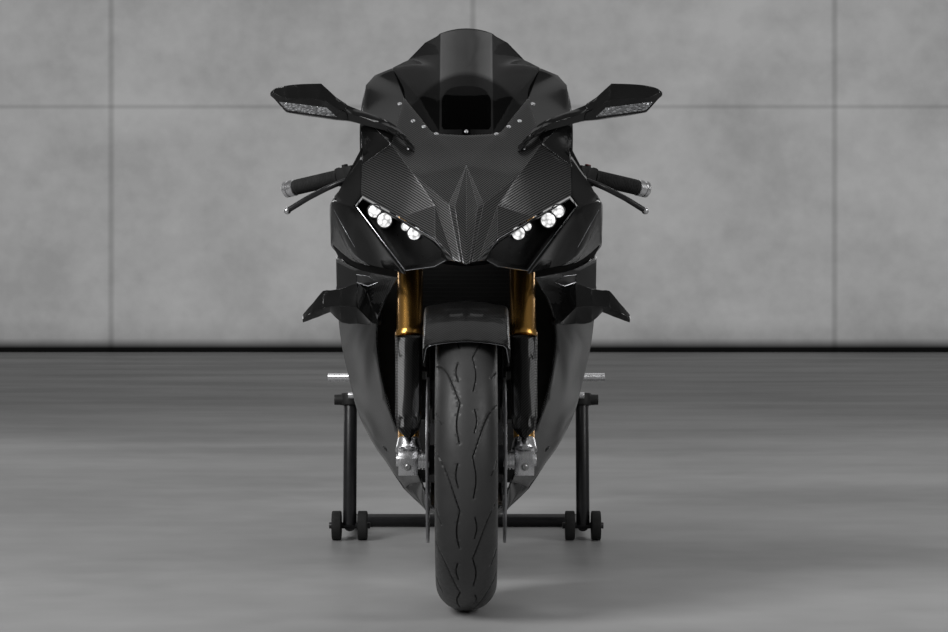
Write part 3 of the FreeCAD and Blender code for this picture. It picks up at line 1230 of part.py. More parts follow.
# Paddock stand: uprights beside the rear wheel, hooks under the bobbins, rollers and a floor bar.
FLOOR_TUBE = size.stand_tube_r
foot_at = at(size.stand_x, BOBBIN_D - size.stand_roller_ahead, size.roller_r)
top_at = at(size.stand_x, BOBBIN_D + 2, BOBBIN_Z - size.stand_top_drop)
heel_at = at(size.stand_x, BOBBIN_D + size.stand_end_behind, FLOOR_TUBE)
upright = rod(foot_at, top_at, size.stand_tube_r)
rail_tube = rod(foot_at, heel_at, size.stand_tube_r - 2)
corner = Part.makeSphere(size.stand_tube_r, heel_at)
cross_tube = rod(heel_at, heel_at - X_AXIS * 2 * size.stand_x, size.stand_tube_r)
prop = rod(foot_at + Vector(0, 12, 120), foot_at + (heel_at - foot_at) * 0.45, 10)
wheel_axle = rod(foot_at - X_AXIS * 52, foot_at + X_AXIS * 52, 8)
side_frame = fuse(upright, rail_tube, corner, prop, wheel_axle)
feature("stand_frame", fuse(side_frame, mirrored(side_frame), cross_tube))

# Hooks: a sleeve on the upright, an arm inwards and a cradle under the bobbin.
reach_r = 11
reach_z = BOBBIN_Z - size.bobbin_r - 7 - 3 - reach_r
cradle_x = arm_out + 14
up_stand = (top_at - foot_at).normalize()
sleeve = rod(top_at - up_stand * 26, top_at + up_stand * 4, size.stand_tube_r + 6)
reach = rod(at(cradle_x - 8, BOBBIN_D, reach_z), at(size.stand_x - 8, BOBBIN_D, reach_z), reach_r)
notch = size.bobbin_r + 0.3
saddle = prism(
    [at(cradle_x - 9, BOBBIN_D + y, BOBBIN_Z + z) for y, z in
     ((-24, 14), (-24, -30), (24, -30), (24, 14))],
    18, X_AXIS)
saddle = saddle.cut(rod(bobbin_at, bobbin_at + X_AXIS * 400, notch))
saddle = saddle.cut(Part.makeBox(400, notch * 2, 60, bobbin_at - Vector(0, notch, 0)))
knob_in = top_at - Z_AXIS * 12
knob = rod(knob_in, knob_in + X_AXIS * (size.stand_tube_r + 24), 15, 13)
hook_cut = rod(foot_at, top_at + up_stand * 30, size.stand_tube_r + 0.02)
feature("stand_hooks", both_sides(fuse(reach, saddle, sleeve, knob).cut(hook_cut)))


def twin_roller(way):
    """Two rollers joined by a hub, turning on one side's stub axle."""
    middle = at(way * size.stand_x, BOBBIN_D - size.stand_roller_ahead, size.roller_r)
    rings = []
    for inner in (size.stand_tube_r + 4, -(size.stand_tube_r + 4 + size.roller_w)):
        first = middle + X_AXIS * inner
        rings.append(hose(first, first + X_AXIS * size.roller_w, size.roller_r, 8.3))
    return Part.makeCompound(rings)


feature("stand_rollers_left", twin_roller(1))
feature("stand_rollers_right", twin_roller(-1))


# Export

doc.recompute()
os.makedirs("parts", exist_ok=True)
for piece in PIECES:
    shape = piece.Shape
    bad = [s for s in piece.State if s in ("Invalid", "Error")]
    if bad or shape.isNull() or not shape.isValid() or not shape.Solids:
        raise RuntimeError(f"{piece.Label} didn't build: {bad}")
    if any(solid.Volume <= 0 for solid in shape.Solids):
        raise RuntimeError(f"{piece.Label} has an empty or inverted solid")
    shape.exportStep(f"parts/{piece.Label}.step")
    print(f"{piece.Label}: {len(shape.Solids)} solids, {shape.Volume / 1e6:.3f} litres")
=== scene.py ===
import bpy
import bmesh
import json
import math
import numpy as np
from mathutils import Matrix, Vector
from mathutils.bvhtree import BVHTree

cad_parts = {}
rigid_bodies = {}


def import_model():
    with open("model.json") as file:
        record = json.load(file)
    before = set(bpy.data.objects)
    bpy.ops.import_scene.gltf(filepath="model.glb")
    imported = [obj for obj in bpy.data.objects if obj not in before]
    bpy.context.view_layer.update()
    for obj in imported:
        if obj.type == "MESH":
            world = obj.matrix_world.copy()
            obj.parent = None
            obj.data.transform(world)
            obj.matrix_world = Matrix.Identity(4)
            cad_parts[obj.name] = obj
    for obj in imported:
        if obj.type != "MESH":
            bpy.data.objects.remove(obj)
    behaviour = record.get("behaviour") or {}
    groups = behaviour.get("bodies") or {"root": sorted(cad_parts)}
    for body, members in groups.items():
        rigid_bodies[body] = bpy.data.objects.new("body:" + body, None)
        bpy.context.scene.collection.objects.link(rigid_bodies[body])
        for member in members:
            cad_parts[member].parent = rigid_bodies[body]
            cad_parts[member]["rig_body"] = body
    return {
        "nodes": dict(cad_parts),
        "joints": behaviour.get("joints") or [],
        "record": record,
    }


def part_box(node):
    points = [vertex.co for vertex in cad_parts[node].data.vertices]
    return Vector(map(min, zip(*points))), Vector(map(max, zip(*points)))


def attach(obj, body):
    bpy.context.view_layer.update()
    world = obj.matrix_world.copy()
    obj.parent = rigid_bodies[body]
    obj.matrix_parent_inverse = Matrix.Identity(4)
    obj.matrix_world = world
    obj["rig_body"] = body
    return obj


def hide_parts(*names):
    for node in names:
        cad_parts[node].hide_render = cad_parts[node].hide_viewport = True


# A sport bike on its rear paddock stand. Metres, +Z up, the bike faces -Y, +X is its left.

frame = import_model()
NODES = frame["nodes"]
JOINTS = {joint["name"]: joint for joint in frame["joints"]}
SLOTS = {part["node"]: part["material_slot"] for part in frame["record"]["subparts"]}
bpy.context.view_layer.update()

X_AXIS, Y_AXIS, Z_AXIS = Vector((1, 0, 0)), Vector((0, 1, 0)), Vector((0, 0, 1))
AHEAD = -Y_AXIS
FRONT_HUB = Vector(JOINTS["front_wheel_spin"]["pos_m"])
REAR_HUB = Vector(JOINTS["rear_wheel_spin"]["pos_m"])
FORK_UP = Vector(JOINTS["steering_turn"]["axis"]).normalized()
FORK_AHEAD = X_AXIS.cross(FORK_UP).normalized()
if FORK_AHEAD.y > 0:
    FORK_AHEAD = -FORK_AHEAD
MM = 0.001


# Materials

class Surface:
    """One procedural material round a Principled shader."""

    def __init__(self, name, **inputs):
        self.material = bpy.data.materials.new(name)
        self.material.use_nodes = True
        self.tree = self.material.node_tree
        self.shader = self.tree.nodes["Principled BSDF"]
        for key, value in inputs.items():
            self.shader.inputs[key.replace("_", " ")].default_value = value

    def node(self, kind, inputs=None, **settings):
        made = self.tree.nodes.new(kind)
        for key, value in settings.items():
            setattr(made, key, value)
        for key, value in (inputs or {}).items():
            if hasattr(value, "links"):
                self.tree.links.new(value, made.inputs[key])
            else:
                made.inputs[key].default_value = value
        return made

    def place(self, stretch=(1, 1, 1)):
        """The rest position of the surface, in metres."""
        source = self.node("ShaderNodeTexCoord").outputs["Object"]
        return self.node("ShaderNodeMapping", {"Vector": source, "Scale": stretch}).outputs["Vector"]

    def maths(self, operation, *values):
        return self.node("ShaderNodeMath", dict(enumerate(values)), operation=operation).outputs[0]

    def noise(self, scale, detail=3.0, stretch=(1, 1, 1)):
        inputs = {"Vector": self.place(stretch), "Scale": scale, "Detail": detail}
        return self.node("ShaderNodeTexNoise", inputs).outputs["Fac"]

    def ramp(self, factor, stops):
        """A tone or colour that follows a factor through its stops, as (factor, tone)."""
        made = self.node("ShaderNodeValToRGB", {"Fac": factor})
        elements = made.color_ramp.elements
        while len(elements) < len(stops):
            elements.new(0.5)
        for element, (at, tone) in zip(elements, stops):
            element.position = at
            element.color = (*((tone,) * 3 if isinstance(tone, (int, float)) else tone), 1.0)
        return made.outputs["Color"]

    def times(self, colour, shade):
        inputs = {0: 1.0, 6: colour, 7: shade}
        return self.node("ShaderNodeMix", inputs, data_type="RGBA", blend_type="MULTIPLY").outputs[2]

    def bump(self, height, strength, distance):
        inputs = {"Height": height, "Strength": strength, "Distance": distance}
        return self.node("ShaderNodeBump", inputs).outputs["Normal"]

    def set(self, socket, source):
        self.tree.links.new(source, self.shader.inputs[socket])


def tones(tone, spread):
    """A colour's dark and light variants."""
    return [c * (1 - spread) for c in tone], [min(1, c * (1 + spread)) for c in tone]


def gloss_paint(name, low, high, roughness=0.12):
    """Lacquered paint, a little uneven in tone, with faint orange peel."""
    s = Surface(name, Specular_IOR_Level=0.42)
    s.set("Base Color", s.ramp(s.noise(9.0), [(0.35, low), (0.65, high)]))
    s.set("Roughness", s.ramp(s.noise(25.0), [(0.3, roughness), (0.7, roughness * 1.3)]))
    s.set("Normal", s.bump(s.noise(420.0, 1.0), 0.04, 0.0004))
    return s.material


TOW = 0.0015                    # width of one bundle of fibres
ROW_RISE, ROW_LEAN = 0.9, 0.45  # how a row of bundles climbs with height and with depth
REPEAT, OVER = 4.0, 1.5         # bundles in one repeat, and how many of them lie on top
GAP_TONE = 0.004                # the dark between the bundles
# heights between which painted shade darkens the top of the nose, where less light falls, with the share of
# the light it keeps
TOP_SHADE_STOPS = [(0.86, 1.0), (0.93, 0.38)]


def carbon(name, across="X", bright=0.095, top_shade=False):
    """Lacquered two by two twill, whose diagonals rise outwards from the middle plane; the nose's copy gets
    painted shade towards its top.
    """
    s = Surface(name, Metallic=0.55, Specular_IOR_Level=0.2, Coat_Weight=0.22, Coat_Roughness=0.05)
    side, depth, height = s.node("ShaderNodeSeparateXYZ", {0: s.place()}).outputs
    u = s.maths("ABSOLUTE", side if across == "X" else depth)
    lean = depth if across == "X" else side
    v = s.maths("ADD", s.maths("MULTIPLY", height, ROW_RISE), s.maths("MULTIPLY", lean, ROW_LEAN))
    warp, weft = s.maths("DIVIDE", u, TOW), s.maths("DIVIDE", v, TOW)
    apart = s.maths("SUBTRACT", s.maths("FLOOR", warp), s.maths("FLOOR", weft))
    over = s.maths("LESS_THAN", s.maths("FLOORED_MODULO", apart, REPEAT), OVER)
    round_warp = s.maths("PINGPONG", warp, 0.5)
    round_weft = s.maths("PINGPONG", weft, 0.5)
    mix = s.node("ShaderNodeMix", {0: over, 2: round_warp, 3: round_weft}, data_type="FLOAT")
    colour = s.ramp(over, [(0.4, GAP_TONE), (0.6, bright)])
    # painted shade darkens the nose's twill towards its top, where less light falls
    s.set("Base Color", s.times(colour, s.ramp(height, TOP_SHADE_STOPS)) if top_shade else colour)
    s.set("Roughness", s.ramp(over, [(0.4, 0.5), (0.6, 0.3)]))
    s.set("Normal", s.bump(mix.outputs[0], 0.25, 0.0005))
    return s.material


def metal(name, tone, roughness, grain=60.0, stretch=(1, 1, 1), spread=0.1):
    """Bare or anodised metal, uneven in tone and polish along its grain."""
    s = Surface(name, Metallic=1.0)
    noise = s.noise(grain, 4.0, stretch)
    low, high = tones(tone, spread)
    s.set("Base Color", s.ramp(noise, [(0.3, low), (0.7, high)]))
    s.set("Roughness", s.ramp(noise, [(0.3, roughness * 0.8), (0.7, roughness * 1.25)]))
    s.set("Normal", s.bump(noise, 0.05, 0.0003))
    return s.material


def moulded(name, tone, roughness, grain=900.0, strength=0.2):
    """Moulded plastic, or cast and coated metal, with a fine texture."""
    s = Surface(name, Specular_IOR_Level=0.4)
    low, high = tones(tone, 0.22)
    s.set("Base Color", s.ramp(s.noise(30.0), [(0.3, low), (0.7, high)]))
    s.set("Roughness", s.ramp(s.noise(70.0), [(0.3, roughness * 0.9), (0.7, min(1, roughness * 1.12))]))
    s.set("Normal", s.bump(s.noise(grain, 2.0), strength, 0.0004))
    return s.material


# the arch below which painted shade darkens the screen, standing in for the dark cockpit seen through it: its
# height, its drop to the sides, its soft edge
ARCH_LOW, ARCH_DROP, ARCH_BLUR = 1.091, 5.4, 0.0125
# tone of the screen by the distance from the middle plane, in tenths of a metre: a painted sheen down the
# middle strip, brightest as a painted glint at its edge, then dark wings
STRIP_SHEEN = [(0.0, 0.12), (0.2, 0.15), (0.5, 0.26), (0.545, 0.30), (0.565, 0.06), (0.9, 0.05)]
# share of the tone that the painted shade below the arch keeps
SHADE_BELOW_ARCH = 0.16


def smoked_screen(name):
    """Tinted plastic with painted light: a painted sheen down the middle strip, dark wings, and painted shade
    below an arch.
    """
    s = Surface(name, Transmission_Weight=1.0, IOR=1.14, Roughness=0.02)
    across, _, height = s.node("ShaderNodeSeparateXYZ", {0: s.place()}).outputs
    side = s.maths("ABSOLUTE", across)
    # painted sheen down the middle of the screen, and painted shade below the arch
    strip = s.ramp(s.maths("MULTIPLY", side, 10.0), STRIP_SHEEN)
    arch = s.maths("ADD", height, s.maths("MULTIPLY", s.maths("MULTIPLY", side, side), ARCH_DROP))
    above = s.maths("MULTIPLY", s.maths("SUBTRACT", arch, ARCH_LOW), 1 / ARCH_BLUR)
    s.set("Base Color", s.times(strip, s.ramp(above, [(0.0, SHADE_BELOW_ARCH), (1.0, 1.0)])))
    return s.material


def cut_lens(name, tone):
    """Clear plastic over small reflector cells."""
    s = Surface(name, Metallic=0.7, Coat_Weight=1.0, Coat_Roughness=0.02)
    cells = s.node("ShaderNodeTexVoronoi", {"Vector": s.place((1, 0.4, 1.6)), "Scale": 150.0})
    s.set("Base Color", s.ramp(cells.outputs["Distance"], [(0.1, tone), (0.6, [c * 0.3 for c in tone])]))
    s.set("Roughness", s.ramp(s.noise(90.0), [(0.3, 0.1), (0.7, 0.25)]))
    s.set("Normal", s.bump(cells.outputs["Distance"], 0.8, 0.003))
    return s.material


def glowing(name, strength):
    """A lit lamp lens over reflector cells."""
    s = Surface(name, Roughness=0.15, Emission_Strength=strength)
    cells = s.node("ShaderNodeTexVoronoi", {"Vector": s.place((1, 0.3, 1)), "Scale": 120.0})
    shade = s.ramp(cells.outputs["Distance"], [(0.2, 1.0), (0.75, 0.28)])
    s.set("Emission Color", shade)
    s.set("Base Color", shade)
    s.set("Normal", s.bump(cells.outputs["Distance"], 0.4, 0.002))
    return s.material


def tyre_rubber(name):
    """Rubber that is greyer along the crown, partly scrubbed and partly a painted sheen from the light above,
    and darker down the wall.
    """
    s = Surface(name, Specular_IOR_Level=0.35)
    near = s.maths("ABSOLUTE", s.node("ShaderNodeSeparateXYZ", {0: s.place()}).outputs[0])
    scuff_and_sheen = s.maths("ADD", s.maths("MULTIPLY", near, 9.0), s.maths("MULTIPLY", s.noise(35.0), 0.25))
    # greyer crown: scrub, and painted sheen from the light above
    s.set("Base Color", s.ramp(scuff_and_sheen, [(0.25, 0.048), (0.75, 0.018)]))
    s.set("Roughness", s.ramp(s.noise(120.0), [(0.3, 0.4), (0.7, 0.52)]))
    s.set("Normal", s.bump(s.noise(1400.0, 2.0), 0.2, 0.0003))
    return s.material


FIN_PITCH, TUBE_PITCH, TUBE_FROM = 0.0016, 0.009, 0.38


def fins(name, tone):
    """A radiator core: fine upright fins between level tubes, with painted shade in the gaps between them."""
    s = Surface(name, Metallic=0.6, Roughness=0.5)
    across, _, height = s.node("ShaderNodeSeparateXYZ", {0: s.place()}).outputs
    upright = s.maths("PINGPONG", s.maths("DIVIDE", across, FIN_PITCH), 0.5)
    level = s.maths("PINGPONG", s.maths("DIVIDE", height, TUBE_PITCH), 0.5)
    relief_and_gap_shade = s.maths("ADD", upright, s.maths("MULTIPLY", s.maths("GREATER_THAN", level, TUBE_FROM), 1.5))
    # painted shade in the gaps between the fins and tubes
    s.set("Base Color", s.ramp(relief_and_gap_shade, [(0.05, [c * 0.25 for c in tone]), (0.6, tone)]))
    s.set("Normal", s.bump(relief_and_gap_shade, 0.8, 0.002))
    return s.material


# the nose's twill, with painted shade towards its top
CARBON = carbon("carbon_twill", top_shade=True)
CARBON_SIDE = carbon("carbon_twill_side", "Y", 0.04)
# a darker copy of the twill: painted shade on the mudguard and brake ducts, low under the nose where less
# light falls
CARBON_SHADED = carbon("carbon_twill_shaded", "X", 0.018)
GLOSS = gloss_paint("gloss_black", 0.003, 0.006)
TANK = gloss_paint("tank_black", 0.004, 0.008, 0.16)
SATIN = moulded("satin_black", (0.013, 0.013, 0.014), 0.36, 700.0, 0.08)
MATTE = moulded("matte_black", (0.010, 0.010, 0.010), 0.62)
RUBBER = moulded("grip_rubber", (0.012, 0.012, 0.012), 0.78, 1100.0, 0.4)
TRAY = moulded("lamp_tray_black", (0.003, 0.003, 0.003), 0.3, 500.0, 0.05)
# pale metal for the rounded edges of the panels: a painted glint along each edge
EDGE_GLINT = metal("painted_edge_glint", (0.52, 0.52, 0.53), 0.34, 30.0)
GOLD = metal("gold_anodised", (0.50, 0.27, 0.07), 0.25, 8.0, (1, 1, 0.2), 0.04)
SILVER = metal("machined_aluminium", (0.62, 0.62, 0.63), 0.27, 50.0, (3, 1, 1), 0.05)
STEEL = metal("brushed_steel", (0.40, 0.40, 0.40), 0.32, 60.0, (1, 14, 14))
DISC = metal("disc_steel", (0.34, 0.34, 0.35), 0.34, 25.0, (1, 1, 1), 0.2)
CHAIN = metal("oiled_chain", (0.2, 0.185, 0.16), 0.38, 300.0)
EXHAUST = metal("heated_steel", (0.33, 0.29, 0.25), 0.3, 18.0, (1, 1, 1), 0.3)
# pale metal for thin beads that paint a glint along edges and creases
GLINT_BEAD = metal("crease_glint", (0.55, 0.56, 0.58), 0.22, 30.0)
TYRE = tyre_rubber("tyre_rubber")
SMOKED = smoked_screen("smoked_screen")
INDICATOR = cut_lens("indicator_lens", (0.75, 0.76, 0.78))
TAIL_LENS = cut_lens("tail_lens", (0.30, 0.006, 0.006))
MIRROR = metal("mirror_glass", (0.78, 0.79, 0.8), 0.02, 5.0, (1, 1, 1), 0.02)
LED = glowing("led_white", 1.15)
KILL_RED = moulded("switch_red", (0.16, 0.010, 0.010), 0.4)
SEAT_COVER = moulded("seat_cover", (0.014, 0.014, 0.014), 0.66, 500.0, 0.6)
SEAM = moulded("seat_thread", (0.05, 0.05, 0.05), 0.7, 2000.0, 0.5)
CORE = fins("radiator_core", (0.016, 0.016, 0.016))

# the record's material slots
FINISH = {
    "gloss_black": GLOSS, "carbon": CARBON, "matte_black": MATTE, "smoked": SMOKED, "lamp_clear": INDICATOR,
    "red_lamp": TAIL_LENS, "mirror": MIRROR, "gold": GOLD, "silver": SILVER, "steel": STEEL,
    "black_metal": SATIN, "grip_rubber": RUBBER, "tyre": TYRE, "seat_cover": SEAT_COVER, "chain_steel": CHAIN,
}
# nodes with a finish of their own
SPECIAL = {
    "fuel_tank": TANK, "front_mudguard": CARBON_SHADED, "brake_ducts": CARBON_SHADED, "rear_hugger": CARBON_SIDE,
    "exhaust": EXHAUST, "radiator": CORE, "headlamp_lenses": LED, "headlamp_trays": TRAY,
    "front_disc_left": DISC, "front_disc_right": DISC, "rear_disc": DISC,
}


def finish_of(node):
    return SPECIAL.get(node) or FINISH[SLOTS[node]]


for name, node_object in NODES.items():
    node_object.data.materials.clear()
    node_object.data.materials.append(finish_of(name))


# The studio: plain floor, plain wall, lamps and camera

FLOOR_TONE, WALL_TONE, WALL_GLOW = 0.36, 0.4, 0.62
WALL_Y, WALL_TALL, HALL_HALF = 17.2, 9.0, 30.0
PANEL_WIDE, PANEL_SHIFT, PANEL_TALL, JOINT = 3.32, 0.06, 2.25, 0.022
# height of the painted shade along the foot of the wall, where it meets the floor
FOOT_SHADE_TALL = 0.075
CLOUD_SHARE, CLOUDS, SPECKS = 0.75, 0.9, 7.0
# the lowest, middle and highest tone of the concrete, as (noise, share of the tone)
CONCRETE_STOPS = [(0.36, 0.8), (0.5, 0.95), (0.64, 1.08)]


def flat(name, corners):
    """One level or upright sheet of the studio."""
    mesh = bpy.data.meshes.new(name)
    mesh.from_pydata(corners, [], [(0, 1, 2, 3)])
    made = bpy.data.objects.new(name, mesh)
    bpy.context.scene.collection.objects.link(made)
    return made


def concrete(s, tone):
    """Cloudy grey with finer specks."""
    cloud = s.maths("MULTIPLY", s.noise(CLOUDS, 8.0, (1, 1, 1.4)), CLOUD_SHARE)
    specks = s.maths("MULTIPLY", s.noise(SPECKS, 6.0), 1 - CLOUD_SHARE)
    return s.ramp(s.maths("ADD", cloud, specks), [(at, tone * share) for at, share in CONCRETE_STOPS])


def studio():
    """The floor and the wall behind the bike; the wall glows a little where it is seen or mirrored, and has
    painted shade along its foot.
    """
    floor = flat("hall_floor", [(-HALL_HALF, -HALL_HALF, 0), (HALL_HALF, -HALL_HALF, 0),
                                (HALL_HALF, WALL_Y, 0), (-HALL_HALF, WALL_Y, 0)])
    s = Surface("polished_floor", Specular_IOR_Level=0.3)
    streaks = s.ramp(s.noise(1.1, 6.0, (0.18, 1.0, 1.0)), [(0.42, 0.88), (0.58, 1.08)])
    s.set("Base Color", s.times(concrete(s, FLOOR_TONE), streaks))
    s.set("Roughness", s.ramp(s.noise(1.6, 6.0, (0.3, 1.0, 1.0)), [(0.35, 0.36), (0.65, 0.46)]))
    s.set("Normal", s.bump(s.noise(5.0, 3.0, (0.6, 1.0, 1.0)), 0.04, 0.004))
    floor.data.materials.append(s.material)

    wall = flat("hall_wall", [(-HALL_HALF, WALL_Y, 0), (HALL_HALF, WALL_Y, 0),
                              (HALL_HALF, WALL_Y, WALL_TALL), (-HALL_HALF, WALL_Y, WALL_TALL)])
    s = Surface("concrete_wall", Specular_IOR_Level=0.2, Roughness=0.8)
    across, _, height = s.node("ShaderNodeSeparateXYZ", {0: s.place()}).outputs
    shifted = s.maths("DIVIDE", s.maths("SUBTRACT", across, PANEL_SHIFT), PANEL_WIDE)
    upright = s.maths("MULTIPLY", s.maths("PINGPONG", shifted, 0.5), PANEL_WIDE)
    level = s.maths("MULTIPLY", s.maths("PINGPONG", s.maths("DIVIDE", height, PANEL_TALL), 0.5), PANEL_TALL)
    seam = s.ramp(s.maths("DIVIDE", upright, JOINT * 2), [(0.2, 0.76), (0.9, 1.0)])
    ledge = s.ramp(s.maths("DIVIDE", level, JOINT * 2), [(0.1, 0.8), (0.7, 1.0)])
    # painted shade along the foot of the wall, near black at the floor
    foot_shade = s.ramp(s.maths("DIVIDE", height, FOOT_SHADE_TALL * 4), [(0.12, 0.01), (0.42, 0.8), (1.0, 1.0)])
    colour = s.times(s.times(s.times(concrete(s, WALL_TONE), seam), ledge), foot_shade)
    s.set("Base Color", colour)
    s.set("Emission Color", colour)
    path = s.node("ShaderNodeLightPath")
    seen = s.maths("MAXIMUM", path.outputs["Is Camera Ray"], path.outputs["Is Glossy Ray"])
    seen = s.maths("MAXIMUM", seen, path.outputs["Is Transmission Ray"])
    s.set("Emission Strength", s.maths("MULTIPLY", seen, WALL_GLOW))
    wall.data.materials.append(s.material)


# name, place, aim, width, height, watts
LAMPS = [
    ("key_lamp", (-2.9, -3.0, 3.2), (0, -0.4, 0.6), 1.8, 2.6, 165),
    ("fill_lamp", (3.6, -2.8, 2.6), (0, -0.4, 0.6), 1.8, 2.2, 62),
    ("top_lamp", (0, 1.4, 4.6), (0, 0.2, 0), 4.5, 3.5, 32),
    ("rim_lamp_left", (3.6, 4.4, 2.4), (0, -0.2, 0.6), 1.0, 3.0, 34),
    ("rim_lamp_right", (-3.6, 4.4, 2.4), (0, -0.2, 0.6), 1.0, 3.0, 34),
]
WORLD_TONE = 0.16


def light():
    """A grey world and five soft lamps."""
    world = bpy.data.worlds.new("studio_world")
    bpy.context.scene.world = world
    world.use_nodes = True
    world.node_tree.nodes["Background"].inputs["Color"].default_value = (*(WORLD_TONE,) * 3, 1)
    for name, place, aim, width, height, watts in LAMPS:
        data = bpy.data.lights.new(name, "AREA")
        data.shape, data.size, data.size_y, data.energy = "RECTANGLE", width, height, watts
        lamp = bpy.data.objects.new(name, data)
        lamp.visible_camera = False
        lamp.location = place
        lamp.rotation_euler = (Vector(aim) - Vector(place)).to_track_quat("-Z", "Y").to_euler()
        bpy.context.scene.collection.objects.link(lamp)


# The photograph's frame and the camera that took it
PICTURE_W, PICTURE_H, FOCAL_PX, MIDDLE_PX, HORIZON_PX = 948, 632, 2500, 466.3, 280
CAMERA_AHEAD, CAMERA_HEIGHT, SENSOR, CLIP_END = 5.0, 0.66, 36.0, 100


def camera():
    data = bpy.data.cameras.new("camera")
    data.sensor_width = SENSOR
    data.lens = FOCAL_PX * SENSOR / PICTURE_W
    data.shift_x = (PICTURE_W / 2 - MIDDLE_PX) / PICTURE_W
    data.shift_y = (HORIZON_PX - PICTURE_H / 2) / PICTURE_W
    data.clip_end = CLIP_END
    made = bpy.data.objects.new("camera", data)
    made.location = (0, FRONT_HUB.y - CAMERA_AHEAD, CAMERA_HEIGHT)
    made.rotation_euler = (math.radians(90), 0, 0)
    bpy.context.scene.collection.objects.link(made)
    bpy.context.scene.camera = made


bpy.context.scene.view_settings.view_transform = "Standard"
studio()
light()
camera()


# Mesh helpers

def shaded(mesh, sharp_above):
    mesh.shade_smooth()
    mesh.set_sharp_from_angle(angle=math.radians(sharp_above))


def add(name, mesh, node, materials=(), replaces=(), smooth=35.0):
    """A piece that rides with a node's body and takes the given materials; the nodes it replaces are hidden.
    """
    piece = bpy.data.objects.new(name, mesh)
    bpy.context.scene.collection.objects.link(piece)
    for material in materials:
        mesh.materials.append(material)
    shaded(mesh, smooth)
    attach(piece, NODES[node]["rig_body"])
    if replaces:
        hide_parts(*replaces)
    return piece


def add_made(name, maker, node, *materials, **settings):
    """A piece from a bmesh."""
    bmesh.ops.recalc_face_normals(maker, faces=maker.faces)
    mesh = bpy.data.meshes.new(name)
    maker.to_mesh(mesh)
    maker.free()
    return add(name, mesh, node, materials, **settings)


def circle(maker, middle, side, up, radius, steps):
    """Corners round a circle across the two given directions."""
    turns = [2 * math.pi * i / steps for i in range(steps)]
    return [maker.verts.new(middle + (side * math.cos(t) + up * math.sin(t)) * radius) for t in turns]


def turned(maker, place, axis, profile, steps=20, material=0):
    """A turned form about an axis: profile pairs are (along the axis, radius)."""
    place, axis = Vector(place), Vector(axis).normalized()
    side = axis.orthogonal().normalized()
    up = axis.cross(side)
    rings = []
    for along, radius in profile:
        middle = place + axis * along
        if radius == 0:
            rings.append([maker.verts.new(middle)] * steps)
        else:
            rings.append(circle(maker, middle, side, up, radius, steps))
    for low, high in zip(rings, rings[1:]):
        for i in range(steps):
            j = (i + 1) % steps
            corners = list(dict.fromkeys((low[i], low[j], high[j], high[i])))
            if len(corners) > 2:
                maker.faces.new(corners).material_index = material


# share of a screw's height and of its radius, from the washer's foot to the socket
SCREW_SHAPE = [(-1, 1.3), (0.15, 1.3), (0.15, 1), (0.7, 0.95), (1, 0.7), (1, 0.45), (0.4, 0.42), (0.4, 0)]


def bolt(maker, place, axis, radius, height, material=0):
    """A domed socket screw on a thin washer."""
    profile = [(height * rise, radius * wide) for rise, wide in SCREW_SHAPE]
    turned(maker, place, axis, profile, 18, material)


def tube(maker, points, radius, steps=10, closed=False):
    """A round bar through points, with flat ends."""
    points = [Vector(p) for p in points]
    count = len(points)
    rings, side = [], None
    for i, point in enumerate(points):
        before = points[i - 1] if i or closed else point
        after = points[(i + 1) % count] if i < count - 1 or closed else point
        along = (after - before).normalized()
        side = along.orthogonal() if side is None else side - along * side.dot(along)
        side.normalize()
        rings.append(circle(maker, point, side, along.cross(side), radius, steps))
    pairs = list(zip(rings, rings[1:])) + ([(rings[-1], rings[0])] if closed else [])
    for low, high in pairs:
        for k in range(steps):
            maker.faces.new((low[k], low[(k + 1) % steps], high[(k + 1) % steps], high[k]))
    if not closed:
        maker.faces.new(rings[0][::-1])
        maker.faces.new(rings[-1])


def ring_of(count, radius, shift=0.0):
    """Places round a circle as pairs of the sine and the cosine, times the radius."""
    turns = [2 * math.pi * (i + shift) / count for i in range(count)]
    return [(radius * math.sin(t), radius * math.cos(t)) for t in turns]


def mirror_x(point):
    return Vector((-point[0], point[1], point[2]))


def surface_of(*nodes):
    """A search tree of the nodes' faces, smoothed where they are, to seat small pieces on them."""
    verts, faces = [], []
    for node in nodes:
        mesh = (bpy.data.objects.get(node + "_skin") or NODES[node]).data
        first = len(verts)
        verts += [v.co.copy() for v in mesh.vertices]
        faces += [[first + i for i in p.vertices] for p in mesh.polygons]
    return BVHTree.FromPolygons(verts, faces)


FAR_AHEAD = -2.0


def seen_ahead(faces, x, z):
    """The place and normal that a level look from ahead of the bike finds at x and height z."""
    return faces.ray_cast(Vector((x, FAR_AHEAD, z)), Y_AXIS)[:2]


def baked(piece):
    """Turns a piece's modifiers into its mesh."""
    bpy.context.view_layer.update()
    found = bpy.context.evaluated_depsgraph_get()
    mesh = bpy.data.meshes.new_from_object(piece.evaluated_get(found))
    old = piece.data
    piece.modifiers.clear()
    piece.data = mesh
    bpy.data.meshes.remove(old)


def welded(node, join_below=0.6, distance=2e-5):
    """A copy of a node's mesh with its corners joined and its flat triangles merged."""
    maker = bmesh.new()
    maker.from_mesh(NODES[node].data)
    bmesh.ops.remove_doubles(maker, verts=maker.verts, dist=distance)
    bmesh.ops.dissolve_degenerate(maker, dist=distance, edges=maker.edges)
    bmesh.ops.join_triangles(maker, faces=maker.faces, angle_face_threshold=math.radians(join_below),
                             angle_shape_threshold=math.radians(180))
    return maker


def mesh_of(maker, name):
    """Turns a bmesh into a mesh that has no materials yet."""
    mesh = bpy.data.meshes.new(name)
    maker.to_mesh(mesh)
    maker.free()
    mesh.materials.clear()
    return mesh


def chosen(mesh, chooser):
    """Gives each face the material number that the chooser returns for its centre and normal."""
    for face in mesh.polygons:
        face.material_index = chooser(face.center, face.normal)


